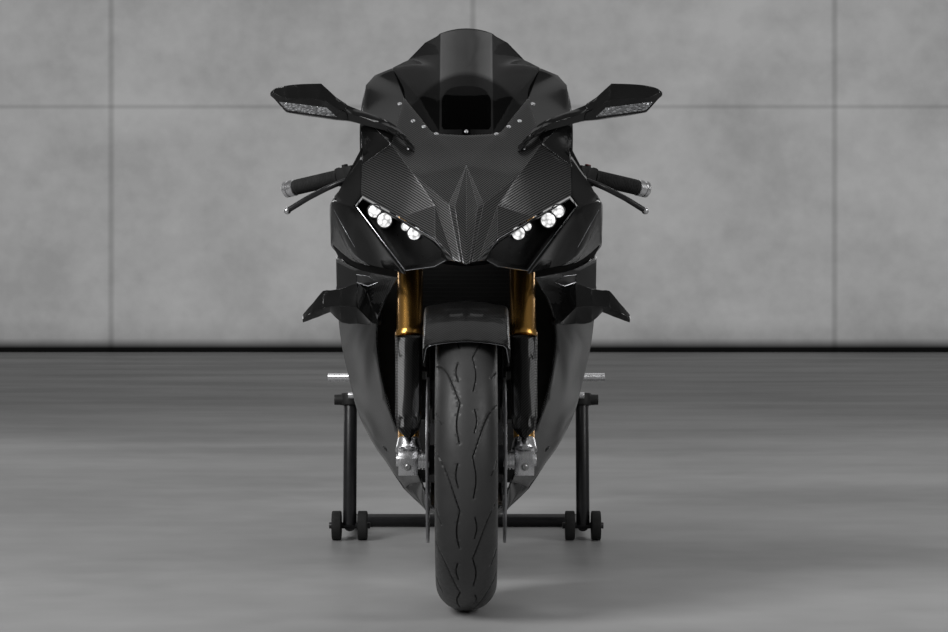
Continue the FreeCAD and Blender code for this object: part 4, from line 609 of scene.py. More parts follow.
# angles in degrees: the largest soft fold across the screen, the bend below which a crease has a corner,
# and the edges that stay sharp in the shading of smooth and of edged pieces
LEVEL_FOLD, CORNER_BELOW, SKIN_SHARP, EDGED_SHARP = 35.0, 150, 32, 38
FIT_ROUNDS = 3                        # rounds in which a cage is fitted to its node's corners
BEVEL_SHARE, LEAST_BEVEL = 0.7, 11.0  # share of the crease angle from which edges are rounded, at least
EDGE_ABOVE = 32.0                     # angle from which soft_edges rounds an edge


def round_edges(piece, width, above, material=-1):
    """Rounds the edges that bend by more than an angle, which keep their material unless one is named."""
    rounding = piece.modifiers.new("edges", "BEVEL")
    rounding.width, rounding.segments, rounding.material = width, 2, material
    rounding.limit_method, rounding.angle_limit = "ANGLE", math.radians(above)


def smooth_panel(node, crease_above, levels, edge_mm):
    """Replaces a flat-faced node by one that is round between its sharp edges and keeps its corners.

    The sharp edges get a narrow rounding in a pale metal, a painted glint along each edge. The screen's folds
    across the bike stay soft up to a larger angle."""
    maker = welded(node)
    edge_crease = maker.edges.layers.float.new("crease_edge")
    corner_crease = maker.verts.layers.float.new("crease_vert")
    for edge in maker.edges:
        run = edge.verts[1].co - edge.verts[0].co
        is_level = node == "windscreen" and abs(run.x) > 0.5 * run.length
        if edge.calc_face_angle(math.pi) > math.radians(LEVEL_FOLD if is_level else crease_above):
            edge[edge_crease] = 1.0
    for corner in maker.verts:
        sharp = [e.other_vert(corner).co - corner.co for e in corner.link_edges if e[edge_crease] > 0]
        if len(sharp) == 2 and sharp[0].angle(sharp[1], math.pi) < math.radians(CORNER_BELOW):
            corner[corner_crease] = 1.0
    mesh = mesh_of(maker, node + "_skin")
    piece = add(node + "_skin", mesh, node, [finish_of(node), EDGE_GLINT], replaces=[node], smooth=180)
    target = np.array([v.co for v in mesh.vertices])
    cage = target.copy()
    soft = piece.modifiers.new("round", "SUBSURF")
    soft.levels = soft.render_levels = 1
    for _ in range(FIT_ROUNDS):
        found = bpy.context.evaluated_depsgraph_get()
        made = np.array([v.co for v in piece.evaluated_get(found).data.vertices[:len(cage)]])
        cage += target - made
        mesh.vertices.foreach_set("co", cage.ravel())
        mesh.update()
        bpy.context.view_layer.update()
    soft.levels = soft.render_levels = levels
    # the rounded edges take the pale metal, a painted glint
    if edge_mm:
        round_edges(piece, edge_mm * MM, max(LEAST_BEVEL, crease_above * BEVEL_SHARE), 1)
    baked(piece)
    shaded(piece.data, SKIN_SHARP)
    return piece


def soft_edges(node, width, materials=None, chooser=None):
    """Replaces a node by a copy whose sharp edges are rounded."""
    mesh = mesh_of(welded(node), node + "_edged")
    piece = add(node + "_edged", mesh, node, materials or [finish_of(node)], replaces=[node])
    round_edges(piece, width, EDGE_ABOVE)
    baked(piece)
    shaded(piece.data, EDGED_SHARP)
    if chooser:
        chosen(piece.data, chooser)
    return piece


# Bodywork

# node: angle above which a fold stays sharp, levels of smoothing, width of the rounded edges in mm
PANELS = {
    "cockpit_sides": (30.0, 3, 1.1), "upper_fairings": (30.0, 3, 1.1), "belly_pan": (30.0, 3, 1.1),
    "side_fairings": (20.0, 3, 1.1), "nose_cowl": (12.0, 3, 1.4), "windscreen": (5.0, 3, 0),
    "fuel_tank": (48.0, 2, 1.1), "tail_cowl": (48.0, 2, 1.1), "front_mudguard": (48.0, 2, 1.1),
    "winglets": (48.0, 1, 1.1), "mirrors": (48.0, 2, 0.5), "brake_ducts": (40.0, 1, 0.5),
    "instrument_pod": (60.0, 2, 1.1),
}
skins = {node: smooth_panel(node, *settings) for node, settings in PANELS.items()}

# Bare twill on the side fairings, inboard of the winglets
TWILL_ABOVE, TWILL_HALF = 0.612, 0.198
sides = skins["side_fairings"].data
sides.materials.append(CARBON_SIDE)
for face in sides.polygons:
    if face.material_index == 0 and face.center.z > TWILL_ABOVE and abs(face.center.x) < TWILL_HALF:
        face.material_index = 2

# The top edge of the screen is an arch: its corners slide down the screen's slope
SCREEN_TOP, SLIDE_FROM, ARCH_HALF, CORNER_DROP, SCREEN_SLOPE = 1.205, 1.13, 0.055, 0.012, 1.16
MOST_DROP = 1.3
screen = skins["windscreen"].data
points = np.array([v.co for v in screen.vertices])
near_top = np.clip((points[:, 2] - SLIDE_FROM) / (SCREEN_TOP - SLIDE_FROM), 0, 1)
drop = CORNER_DROP * near_top * np.minimum((points[:, 0] / ARCH_HALF) ** 2, MOST_DROP)
points[:, 2] -= drop
points[:, 1] -= drop * SCREEN_SLOPE
screen.vertices.foreach_set("co", points.ravel())
screen.update()

# node: width of the rounded edges in mm
EDGED = {
    "headlamp_trays": 0.6, "radiator_shroud": 0.6, "mirror_indicators": 0.5, "mirror_glasses": 0.5,
    "front_rim": 1.2, "rear_rim": 1.2, "rear_sprocket": 0.5, "front_axle": 0.8, "fork_outer_tubes": 1,
    "front_calipers": 1.6, "triple_clamps": 1.6, "clip_on_bars": 1, "bar_controls": 1.8,
    "levers": 0.5, "fuel_cap": 1.5, "frame": 2.5, "engine_block": 4, "exhaust": 2, "fairing_stays": 0.8,
    "swingarm": 2.5, "rear_axle": 1, "rear_caliper": 1.8, "rear_hugger": 0.8, "subframe": 1,
    "rearset_plates": 1.2, "foot_pegs": 0.8, "foot_levers": 0.8, "drive_sprocket": 0.4, "side_stand": 1.2,
    "stand_frame": 0.8, "stand_hooks": 1.2, "stand_rollers_left": 3, "stand_rollers_right": 3,
    "tail_lamp": 1,
}
edged = {node: soft_edges(node, width * MM) for node, width in EDGED.items()}

STAY_REACH = 0.262  # half the width at which the side stays end, inside the fairings
for corner in edged["fairing_stays"].data.vertices:
    corner.co.x = min(max(corner.co.x, -STAY_REACH), STAY_REACH)


# Tyres: the real round section with cut grooves

FLATS = 56                    # flat steps of the plain tyre
CROWN_TURN = math.radians(98)  # half of the angle that the crown spans
CROWN_LIFT = 0.92             # height of the crown's arc as a share of its half width
BEAD_R = 0.224
GROOVE_HALF, GROOVE_DEEP = 2.0 * MM, 4.0 * MM
NEAR_LINE, NEAR_EDGE = 0.6, 1.6  # grid steps from a groove's line drawn onto the line, and onto its edge
# share of the crown from the middle, share of one pitch round the tyre
GROOVES = [
    [(0.13, 0.0), (0.20, 0.18), (0.12, 0.38)],
    [(0.12, 0.38), (0.32, 0.66), (0.48, 0.82), (0.74, 0.94)],
    [(0.15, 0.60), (0.21, 0.71), (0.16, 0.82)],
    [(0.52, 0.20), (0.72, 0.34)],
]
# share of the way from the crown to the bead, and how far the wall stands proud in mm
WALL_RINGS = [(0.25, 0), (0.3, 0.9), (0.42, 0.9), (0.47, 0), (0.72, 0), (0.76, 1), (0.84, 1), (0.88, 0),
              (1, 0)]


def rounded(points, rounds=2):
    """A line with its corners cut to a smooth bend."""
    for _ in range(rounds):
        cut = [points[0]]
        for (a, b), (c, d) in zip(points, points[1:]):
            cut += [(a * 0.75 + c * 0.25, b * 0.75 + d * 0.25), (a * 0.25 + c * 0.75, b * 0.25 + d * 0.75)]
        points = cut + [points[-1]]
    return points


def nearest_groove(place, pitch, reach):
    """The nearest place on a groove's line to each place of the unrolled crown, and its distance."""
    best = np.full(place.shape[:2], 1.0)
    nearest = place.copy()
    for side, groove in [(side, groove) for side in (-1, 1) for groove in GROOVES]:
        line = [(along * pitch, share * reach * side) for share, along in rounded(groove)]
        local = np.mod(place[..., 0] - (pitch / 2 if side > 0 else 0.0), pitch)
        for turn in (-pitch, 0.0, pitch):
            point = np.stack([local + turn, place[..., 1]], -1)
            for a, b in zip(line, line[1:]):
                a, b = np.array(a), np.array(b)
                run = b - a
                t = np.clip(((point - a) @ run) / (run @ run), 0, 1)
                foot = a + t[..., None] * run
                gap = np.linalg.norm(point - foot, axis=-1)
                closer = gap < best
                best = np.where(closer, gap, best)
                nearest = np.where(closer[..., None], place + foot - point, nearest)
    return nearest, best


def tyre(node, hub, rim_half, around, across, pitches):
    """A tyre with a fine grid whose corners are drawn onto each groove's line and edges."""
    low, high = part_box(node)
    radius = (high.y - low.y) / 2 * math.cos(math.pi / FLATS)
    crown = (high.x - low.x) / 2
    lift = crown * CROWN_LIFT
    middle_r = radius - lift
    reach = crown * CROWN_TURN
    s = np.arange(around) * 2 * math.pi * radius / around
    w = np.linspace(-reach, reach, across)
    place = np.stack(np.meshgrid(s, w, indexing="ij"), -1)
    nearest, best = nearest_groove(place, 2 * math.pi * radius / pitches, reach)
    step = max(2 * math.pi * radius / around, 2 * reach / across)
    away = place - nearest
    distance = np.maximum(best, 1e-9)[..., None]
    inside = best < step * NEAR_LINE
    edge = (best >= step * NEAR_LINE) & (best < step * NEAR_EDGE)
    place = np.where(inside[..., None], nearest, place)
    place = np.where(edge[..., None], nearest + away / distance * GROOVE_HALF, place)
    deep = np.where(inside, GROOVE_DEEP, 0.0)
    angle = place[..., 1] / crown
    turn = place[..., 0] / radius
    x = (crown - deep) * np.sin(angle)
    r = middle_r + (lift - deep) * np.cos(angle)
    end_x, end_r = crown * math.sin(CROWN_TURN), middle_r + lift * math.cos(CROWN_TURN)
    wall = [((rim_half - end_x) * share + end_x, (BEAD_R - end_r) * share + end_r, proud * MM)
            for share, proud in WALL_RINGS]
    columns_x = [np.full(around, -run_x - proud) for run_x, _, proud in reversed(wall)]
    columns_x += list(x.T) + [np.full(around, run_x + proud) for run_x, _, proud in wall]
    wall_r = [np.full(around, run_r) for _, run_r, _ in wall]
    columns_r = wall_r[::-1] + list(r.T) + wall_r
    plain = [turn[:, 0]] * len(wall)
    turns = plain + list(turn.T) + plain
    x, r, turn = (np.stack(columns, 1) for columns in (columns_x, columns_r, turns))
    points = np.stack([hub.x + x, hub.y + r * np.sin(turn), hub.z + r * np.cos(turn)], -1)
    wide = points.shape[1]
    i, j = np.meshgrid(np.arange(around), np.arange(wide - 1), indexing="ij")
    k = (i + 1) % around
    faces = np.stack([i * wide + j, i * wide + j + 1, k * wide + j + 1, k * wide + j], -1).reshape(-1, 4)
    mesh = bpy.data.meshes.new(node + "_tread")
    mesh.from_pydata(points.reshape(-1, 3).tolist(), [], faces.tolist())
    add(node + "_tread", mesh, node, [TYRE], replaces=[node], smooth=60)


FRONT_RIM_HALF, REAR_RIM_HALF = 0.046, 0.079
AROUND, FRONT_ACROSS, REAR_ACROSS, PITCHES = 738, 62, 78, 9
tyre("front_tyre", FRONT_HUB, FRONT_RIM_HALF, AROUND, FRONT_ACROSS, PITCHES)
tyre("rear_tyre", REAR_HUB, REAR_RIM_HALF, AROUND, REAR_ACROSS, PITCHES)

# Valve stems on the wells of the rims
WELL_R, VALVE_TURN, VALVE_X, VALVE_AXIS = 0.192, 0.63, 0.02, (1, -0.4, -0.5)
VALVE_SHAPE = [(0, 0.004), (0.018, 0.004), (0.018, 0.0052), (0.03, 0.0052), (0.03, 0)]
for node, hub in (("front_rim", FRONT_HUB), ("rear_rim", REAR_HUB)):
    maker = bmesh.new()
    well = hub + Vector((0, math.sin(VALVE_TURN), math.cos(VALVE_TURN))) * WELL_R
    turned(maker, well + X_AXIS * VALVE_X, VALVE_AXIS, VALVE_SHAPE, 12)
    add_made(node + "_valve", maker, node, SATIN)


# Brake discs: black carrier, bright band, buttons between them

CARRIER, REAR_CARRIER = 0.68, 0.3  # radius of the carrier as a share of the disc
BUTTON_R, BUTTON_PROUD, BUTTONS = 6.5 * MM, 1.2 * MM, 10


def brake_disc(node, hub, carrier, buttons):
    low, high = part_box(node)
    radius, x = (high.y - low.y) / 2, (low.x + high.x) / 2
    thick = (high.x - low.x) / 2

    def zone(centre, normal):
        return 1 if math.hypot(centre.y - hub.y, centre.z - hub.z) < radius * carrier else 0

    soft_edges(node, 0.4 * MM, [DISC, SATIN], chooser=zone)
    if buttons:
        maker = bmesh.new()
        wide = (thick + BUTTON_PROUD) * 2
        for y, z in ring_of(buttons, radius * carrier, 0.5):
            place = Vector((x - thick - BUTTON_PROUD, hub.y + y, hub.z + z))
            turned(maker, place, X_AXIS, [(0, 0), (0, BUTTON_R), (wide, BUTTON_R), (wide, 0)], 16)
        add_made(node + "_buttons", maker, node, SILVER)


brake_disc("front_disc_left", FRONT_HUB, CARRIER, BUTTONS)
brake_disc("front_disc_right", FRONT_HUB, CARRIER, BUTTONS)
brake_disc("rear_disc", REAR_HUB, REAR_CARRIER, 0)


# Fork legs: gold tubes, machined axle feet

LEG_X = 0.116
GOLD_ABOVE, GOLD_AHEAD = 0.055, -0.024  # the axle's foot, bare, ends above and behind these


def leg_place(along, ahead=0.0, x=LEG_X):
    """A place by its way up the fork from the axle and its way ahead of the leg."""
    return Vector((x, FRONT_HUB.y, FRONT_HUB.z)) + FORK_UP * along + FORK_AHEAD * ahead


def leg_zone(centre, normal):
    arm = centre - FRONT_HUB
    return 0 if arm.dot(FORK_UP) > GOLD_ABOVE and arm.dot(FORK_AHEAD) > GOLD_AHEAD else 1


soft_edges("fork_sliders", 1.2 * MM, [GOLD, SILVER], chooser=leg_zone)

PINCH_BELOW, PINCH_R, PINCH_TALL = 0.012, 0.0062, 0.004
# the ribbed spacer between foot and hub
SPACER_X = 0.080
SPACER_SHAPE = [(0, 0.0145), (0, 0.019), (0.003, 0.019), (0.003, 0.016), (0.006, 0.016), (0.006, 0.019),
                (0.009, 0.019), (0.009, 0.016), (0.012, 0.016), (0.012, 0.0185), (0.0165, 0.0185),
                (0.0165, 0.0145)]
slider_faces = surface_of("fork_sliders")
maker = bmesh.new()
for way in (-1, 1):
    ahead_of_foot = FRONT_HUB + X_AXIS * way * LEG_X + Vector((0, -1, -PINCH_BELOW))
    bolt(maker, slider_faces.ray_cast(ahead_of_foot, Y_AXIS)[0], AHEAD, PINCH_R, PINCH_TALL, 1)
    turned(maker, FRONT_HUB + X_AXIS * way * SPACER_X, X_AXIS * way, SPACER_SHAPE, 32)
add_made("axle_foot_details", maker, "fork_sliders", SILVER, STEEL)

# way up the leg, way ahead of it, x, radius and height of each caliper bolt
CALIPER_BOLTS = [
    (0.114, -0.052, 0.1035, 0.005, 0.005), (0.174, -0.052, 0.1035, 0.005, 0.005),
    (0.128, -0.061, 0.1085, 0.009, 0.002), (0.160, -0.061, 0.1085, 0.009, 0.002),
]
maker = bmesh.new()
for way in (-1, 1):
    for along, ahead, x, radius, height in CALIPER_BOLTS:
        bolt(maker, leg_place(along, ahead, way * x), X_AXIS * way, radius, height)
add_made("caliper_bolts", maker, "front_calipers", SILVER)


# Headlamps: lit lens domes, a lens ring round each, and a painted glint along the edge of the opening

# x, z and radius of each lens
LENSES = [(0.188, 0.801, 0.015), (0.167, 0.782, 0.017), (0.123, 0.768, 0.010), (0.105, 0.754, 0.015)]
# share of a lens's radius along and across the dome; way along in metres and share of the radius for the ring
DOME_SHAPE = [(0, 0.86), (0.14, 0.74), (0.24, 0.42), (0.27, 0)]
RING_SHAPE = [(-0.001, 1.02), (0.0016, 1.02), (0.002, 0.96), (0.0016, 0.86), (-0.001, 0.86)]
lens_faces = surface_of("headlamp_lenses")
domes, rings = bmesh.new(), bmesh.new()
for x, z, radius in LENSES:
    for way in (-1, 1):
        at_front = Vector((x * way, seen_ahead(lens_faces, x * way, z)[0].y, z))
        turned(domes, at_front, AHEAD, [(radius * rise, radius * wide) for rise, wide in DOME_SHAPE], 32)
        turned(rings, at_front, AHEAD, [(rise, radius * wide) for rise, wide in RING_SHAPE], 32)
add_made("lamp_domes", domes, "headlamp_lenses", LED)
add_made("lamp_rings", rings, "headlamp_trays", SATIN)


FACES_AHEAD = -0.9


def lens_zone(centre, normal):
    return 0 if normal.y < FACES_AHEAD else 1


soft_edges("headlamp_lenses", 0.4 * MM, [LED, SATIN], chooser=lens_zone)

# corners of the lamp opening, from the outer end along the lower edge and back along the brow
LAMP_EDGE = [
    (0.221, -0.597, 0.822), (0.226, -0.593, 0.811), (0.124, -0.687, 0.679), (0.063, -0.763, 0.687),
    (0.041, -0.782, 0.699),
]
BROW_EDGE = [(0.214, -0.604, 0.828), (0.134, -0.697, 0.784), (0.064, -0.782, 0.742), (0.040, -0.792, 0.712)]
LAMP_EDGE_R, BROW_EDGE_R = 0.9 * MM, 0.6 * MM
# thin bright beads along the opening and the brow: a painted glint
maker = bmesh.new()
for way in (-1, 1):
    tube(maker, [(x * way, y, z) for x, y, z in LAMP_EDGE], LAMP_EDGE_R, 6)
    tube(maker, [(x * way, y, z) for x, y, z in BROW_EDGE], BROW_EDGE_R, 6)
add_made("lamp_edge_glint", maker, "headlamp_trays", GLINT_BEAD)


# Gills on the side fairings above the winglets: a dark panel in a frame of painted glint

# x and height of the corners of the left gill
GILL = [(0.232, 0.671), (0.205, 0.668), (0.183, 0.655), (0.206, 0.647), (0.232, 0.655)]
GILL_PROUD, GILL_EDGE_R, GILL_SINK = 0.8 * MM, 0.8 * MM, 1.2 * MM
side_faces = surface_of("side_fairings")
frames, panels = bmesh.new(), bmesh.new()
for way in (-1, 1):
    outer = [seen_ahead(side_faces, x * way, z)[0] - Y_AXIS * GILL_PROUD for x, z in GILL]
    tube(frames, outer, GILL_EDGE_R, 6, closed=True)
    front = [panels.verts.new(place) for place in outer]
    back = [panels.verts.new(place + Y_AXIS * GILL_SINK) for place in outer]
    panels.faces.new(front)
    panels.faces.new(back[::-1])
    for k in range(len(front)):
        j = (k + 1) % len(front)
        panels.faces.new((front[j], front[k], back[k], back[j]))
add_made("gill_glint_frames", frames, "side_fairings", GLINT_BEAD)
add_made("gill_panels", panels, "side_fairings", TRAY)


# A painted glint along the crease down each upper fairing, as a bright bead; x and height of its ends, laid
# on the face

CREASE_TOP, CREASE_FOOT, CREASE_STEPS, CREASE_R = (0.277, 0.807), (0.231, 0.728), 14, 0.7 * MM
upper_shell = surface_of("upper_fairings")
maker = bmesh.new()
for way in (-1, 1):
    line = []
    for i in range(CREASE_STEPS + 1):
        x, z = (a + (b - a) * i / CREASE_STEPS for a, b in zip(CREASE_TOP, CREASE_FOOT))
        line.append(seen_ahead(upper_shell, x * way, z)[0])
    tube(maker, line, CREASE_R, 6)
add_made("fairing_crease_glints", maker, "upper_fairings", GLINT_BEAD)


# A painted glint along the front lip of the mudguard, as a bright bead found by looking level at it from the
# front

LIP_HALF, LIP_LOW, LIP_HIGH, LIP_R = 0.088, 0.50, 0.60, 0.7 * MM
LIP_AHEAD = 0.15              # the lip lies further ahead of the hub than this
LIP_STEPS, LOOKS = 16, 100    # steps across each half, and looks up each of them
guard_faces = surface_of("front_mudguard")
lip = []
for i in range(LIP_STEPS * 2 + 1):
    x = LIP_HALF * (i / LIP_STEPS - 1)
    for k in range(LOOKS + 1):
        found = seen_ahead(guard_faces, x, LIP_LOW + (LIP_HIGH - LIP_LOW) * k / LOOKS)[0]
        if found and found.y < FRONT_HUB.y - LIP_AHEAD:
            lip.append(found + Vector((0, 0, LIP_R)))
            break
maker = bmesh.new()
tube(maker, lip, LIP_R, 8)
add_made("mudguard_lip_glint", maker, "front_mudguard", GLINT_BEAD)


# Screws that hold the screen and cowls

# x and height of each screw, on the left half
SCREWS = [(0.0, 0.967), (0.062, 0.962), (0.088, 0.978), (0.111, 0.991), (0.140, 1.030), (0.118, 0.930),
          (0.152, 0.972)]
COWL_SCREW_R, COWL_SCREW_TALL = 0.0036, 0.0016
cowl_faces = surface_of("nose_cowl", "windscreen", "cockpit_sides")
maker = bmesh.new()
for x, z in SCREWS:
    for way in ((-1, 1) if x else (1,)):
        place, normal = seen_ahead(cowl_faces, x * way, z)
        bolt(maker, place, -normal if normal.y > 0 else normal, COWL_SCREW_R, COWL_SCREW_TALL)
add_made("cowl_screws", maker, "nose_cowl", SILVER)


# Drive chain: rollers, pins and side plates along the pitch line

CHAIN_X = 0.116
DRIVE_HUB = Vector((CHAIN_X, 0.092, 0.400))
PITCH, REAR_TEETH, DRIVE_TEETH = 0.015875, 41, 16
PIN_HALF, PIN_R, ROLLER_HALF, ROLLER_R, BUSH_R = 0.0078, 0.0025, 0.0038, 0.0044, 0.002
OUTER_X, INNER_X, PLATE_WALL, PLATE_TALL, PLATE_WAIST = 0.0056, 0.0041, 0.0013, 0.0068, 0.0045
PLATE_TURNS = (-60, -30, 0, 30, 60)  # corners of a plate's round end, in degrees


def chain_line():
    """Roller centres, evenly spaced round both sprockets."""
    rear_r = PITCH / (2 * math.sin(math.pi / REAR_TEETH))
    drive_r = PITCH / (2 * math.sin(math.pi / DRIVE_TEETH))
    a, b = DRIVE_HUB, Vector((CHAIN_X, REAR_HUB.y, REAR_HUB.z))
    along = (b - a).normalized()
    over = along.cross(X_AXIS)
    over = over if over.z > 0 else -over
    span = (b - a).length
    lean = math.asin((rear_r - drive_r) / span)
    up = over * math.cos(lean) - along * math.sin(lean)
    down = -over * math.cos(lean) - along * math.sin(lean)
    run = span * math.cos(lean)
    stretches = [
        (run, lambda s: a + up * drive_r + (b - a + up * (rear_r - drive_r)) * (s / run)),
        (rear_r * (math.pi + 2 * lean), lambda s: b + turned_arm(up * rear_r, s / rear_r)),
        (run, lambda s: b + down * rear_r + (a - b + down * (drive_r - rear_r)) * (s / run)),
        (drive_r * (math.pi - 2 * lean), lambda s: a + turned_arm(down * drive_r, s / drive_r)),
    ]
    total = sum(length for length, _ in stretches)
    count = round(total / PITCH / 2) * 2
    places = []
    for i in range(count):
        s = total * i / count
        for length, place_at in stretches:
            if s < length:
                places.append(place_at(s))
                break
            s -= length
    return places


def turned_arm(arm, angle):
    return arm * math.cos(angle) + arm.cross(X_AXIS) * math.sin(angle)


def side_plate(maker, a, b, x):
    """One link plate between two rollers: round ends and a waist."""
    along = (b - a).normalized()
    up = along.cross(X_AXIS)
    outline = []
    for end, way in ((a, -1), (b, 1)):
        for turn in PLATE_TURNS:
            t = math.radians(turn)
            outline.append(end + along * way * math.cos(t) * PLATE_TALL + up * way * math.sin(t) * PLATE_TALL)
        outline.append((a + b) / 2 + up * way * PLATE_WAIST)
    inner, outer = ([maker.verts.new(p + X_AXIS * shift) for p in outline] for shift in (x, x + PLATE_WALL))
    maker.faces.new(inner[::-1])
    maker.faces.new(outer)
    for k in range(len(outline)):
        j = (k + 1) % len(outline)
        maker.faces.new((inner[k], inner[j], outer[j], outer[k]))


PIN_SHAPE = [(0, 0), (0, PIN_R), (PIN_HALF * 2, PIN_R), (PIN_HALF * 2, 0)]
ROLLER_SHAPE = [(0, BUSH_R), (0, ROLLER_R), (ROLLER_HALF * 2, ROLLER_R), (ROLLER_HALF * 2, BUSH_R)]
maker = bmesh.new()
line = chain_line()
for i, here in enumerate(line):
    turned(maker, here - X_AXIS * PIN_HALF, X_AXIS, PIN_SHAPE, 8)
    turned(maker, here - X_AXIS * ROLLER_HALF, X_AXIS, ROLLER_SHAPE, 10)
    out = OUTER_X if i % 2 else INNER_X
    for x in (out, -out - PLATE_WALL):
        side_plate(maker, here, line[(i + 1) % len(line)], x)
add_made("drive_chain_links", maker, "drive_chain", CHAIN, replaces=["drive_chain"])

# x beyond the chain line, radius of their circle, radius and height of the sprocket's bolts
SPROCKET_BOLT_X, SPROCKET_RING, SPROCKET_BOLT_R, SPROCKET_BOLT_TALL = 0.003, 0.036, 0.005, 0.005
maker = bmesh.new()
for y, z in ring_of(6, SPROCKET_RING):
    place = REAR_HUB + Vector((CHAIN_X + SPROCKET_BOLT_X, y, z))
    bolt(maker, place, X_AXIS, SPROCKET_BOLT_R, SPROCKET_BOLT_TALL)
add_made("sprocket_bolts", maker, "rear_sprocket", SILVER)


# Rear shock: one coil spring between two collars in place of the plain rings

SHOCK_LOW = Vector((0, FRONT_HUB.y + 0.960, 0.455))
SHOCK_HIGH = Vector((0, FRONT_HUB.y + 0.925, 0.690))
SPRING_FROM, SPRING_TO, SPRING_R, WIRE_R, SPRING_TURNS, TURN_STEPS = 0.052, 0.188, 0.0275, 0.0052, 6, 28
DAMPER_R, ROD_R, COLLAR_R, RING_MARGIN = 0.0203, 0.008, 0.0335, 0.002
FOOT_TALL, CROWN_TALL, BODY_TALL, NECK_TALL = 0.004, 0.006, 0.05, 0.03  # collars, damper's body, rod's top
shock_along = (SHOCK_HIGH - SHOCK_LOW).normalized()


def is_ring(face):
    along = (face.calc_center_median() - SHOCK_LOW).dot(shock_along)
    return SPRING_FROM - RING_MARGIN < along < SPRING_TO + RING_MARGIN


maker = welded("rear_shock")
bmesh.ops.delete(maker, geom=[face for face in maker.faces if is_ring(face)], context="FACES")
add("shock_damper", mesh_of(maker, "shock_damper"), "rear_shock", [SATIN], replaces=["rear_shock"])
maker = bmesh.new()
turned(maker, SHOCK_LOW, shock_along, [
    (SPRING_FROM - FOOT_TALL, DAMPER_R), (SPRING_FROM - FOOT_TALL, COLLAR_R), (SPRING_FROM, COLLAR_R),
    (SPRING_FROM, DAMPER_R), (SPRING_FROM + BODY_TALL, DAMPER_R), (SPRING_FROM + BODY_TALL, ROD_R),
    (SPRING_TO - NECK_TALL, ROD_R), (SPRING_TO - NECK_TALL, DAMPER_R), (SPRING_TO, DAMPER_R),
    (SPRING_TO, COLLAR_R), (SPRING_TO + CROWN_TALL, COLLAR_R), (SPRING_TO + CROWN_TALL, DAMPER_R)], 28)
add_made("shock_collars", maker, "rear_shock", SATIN)
maker = bmesh.new()
side = shock_along.cross(X_AXIS).normalized()
points, count = [], SPRING_TURNS * TURN_STEPS
for i in range(count + 1):
    t = 2 * math.pi * i / TURN_STEPS
    rise = SPRING_FROM + WIRE_R + (SPRING_TO - SPRING_FROM - 2 * WIRE_R) * i / count
    points.append(SHOCK_LOW + shock_along * rise + (X_AXIS * math.cos(t) + side * math.sin(t)) * SPRING_R)
tube(maker, points, WIRE_R, 10)
add_made("shock_spring", maker, "rear_shock", GOLD)


# Handlebar: ribbed grips, turned bar ends, switches and lever balls

BAR_TIP = Vector((0.394, FRONT_HUB.y + 0.455, 0.857))
BAR_ROOT_Z, ROOT_DROP = 0.918, 0.006
BAR_ROOT = leg_place((BAR_ROOT_Z - FRONT_HUB.z) / FORK_UP.z - ROOT_DROP)
BAR_ALONG = (BAR_TIP - BAR_ROOT).normalized()
BAR_UP = BAR_ALONG.cross(AHEAD).normalized()
if BAR_UP.z < 0:
    BAR_UP = -BAR_UP
BAR_AHEAD = BAR_UP.cross(BAR_ALONG).normalized()
if BAR_AHEAD.y > 0:
    BAR_AHEAD = -BAR_AHEAD
CAP_LEN, CAP_R, GRIP_LEN, GRIP_R, BAR_R = 0.027, 0.018, 0.122, 0.017, 0.011
GRIP_OUT, BORE_R = CAP_LEN + 0.0003, BAR_R + 0.0001
GRIP_IN = GRIP_OUT + GRIP_LEN
SWITCH_IN = GRIP_IN + 0.001
RIB_PITCH, RIBS_FROM, RIBS_TO = 0.0042, CAP_LEN + 0.006, GRIP_IN - 0.012
# one rib of the grip: way inboard, and how far below the grip's radius
RIB_SHAPE = [(0, 0.0009), (0.0008, 0.0001), (0.0026, 0.0001), (0.0034, 0.0009)]


def bar_place(inboard, ahead=0.0, up=0.0):
    return BAR_TIP - BAR_ALONG * inboard + BAR_AHEAD * ahead + BAR_UP * up


def on_both(points):
    return [(1, [Vector(p) for p in points]), (-1, [mirror_x(p) for p in points])]


grip = [(GRIP_OUT, BORE_R), (GRIP_OUT, GRIP_R - 0.0008)]
rib = RIBS_FROM
while rib < RIBS_TO:
    grip += [(rib + inboard, GRIP_R - low) for inboard, low in RIB_SHAPE]
    rib += RIB_PITCH
grip += [(GRIP_IN - 0.007, GRIP_R), (GRIP_IN - 0.005, GRIP_R + 0.0036), (GRIP_IN - 0.001, GRIP_R + 0.0038),
         (GRIP_IN, GRIP_R + 0.002), (GRIP_IN, BORE_R)]
cap = [(0.0, 0), (0.0, 0.006), (0.0035, 0.0072), (0.0035, 0.0105), (0.0, 0.0115), (0.0, CAP_R - 0.0018),
       (0.0018, CAP_R), (0.0095, CAP_R), (0.0105, CAP_R - 0.0012), (0.0125, CAP_R - 0.0012), (0.0135, CAP_R),
       (CAP_LEN - 0.0012, CAP_R), (CAP_LEN, CAP_R - 0.0012), (CAP_LEN, 0)]
grips, caps = bmesh.new(), bmesh.new()
for way, (tip, inner) in on_both([BAR_TIP, BAR_ROOT]):
    turned(grips, tip, inner - tip, grip, 40)
    turned(caps, tip, inner - tip, cap, 40)
add_made("ribbed_grips", grips, "grips", RUBBER, replaces=["grips"])
add_made("turned_bar_ends", caps, "bar_ends", SILVER, replaces=["bar_ends"])

LEVER_TIP, LEVER_BALL_R = bar_place(CAP_LEN + 0.002, 0.050, -0.048), 0.008
lever_tips = [LEVER_TIP, mirror_x(LEVER_TIP)]
BALL_REACH = LEVER_BALL_R * 1.05
edged["levers"].data.materials.append(SILVER)
chosen(edged["levers"].data, lambda centre, normal:
       1 if min((centre - tip).length for tip in lever_tips) < BALL_REACH else 0)

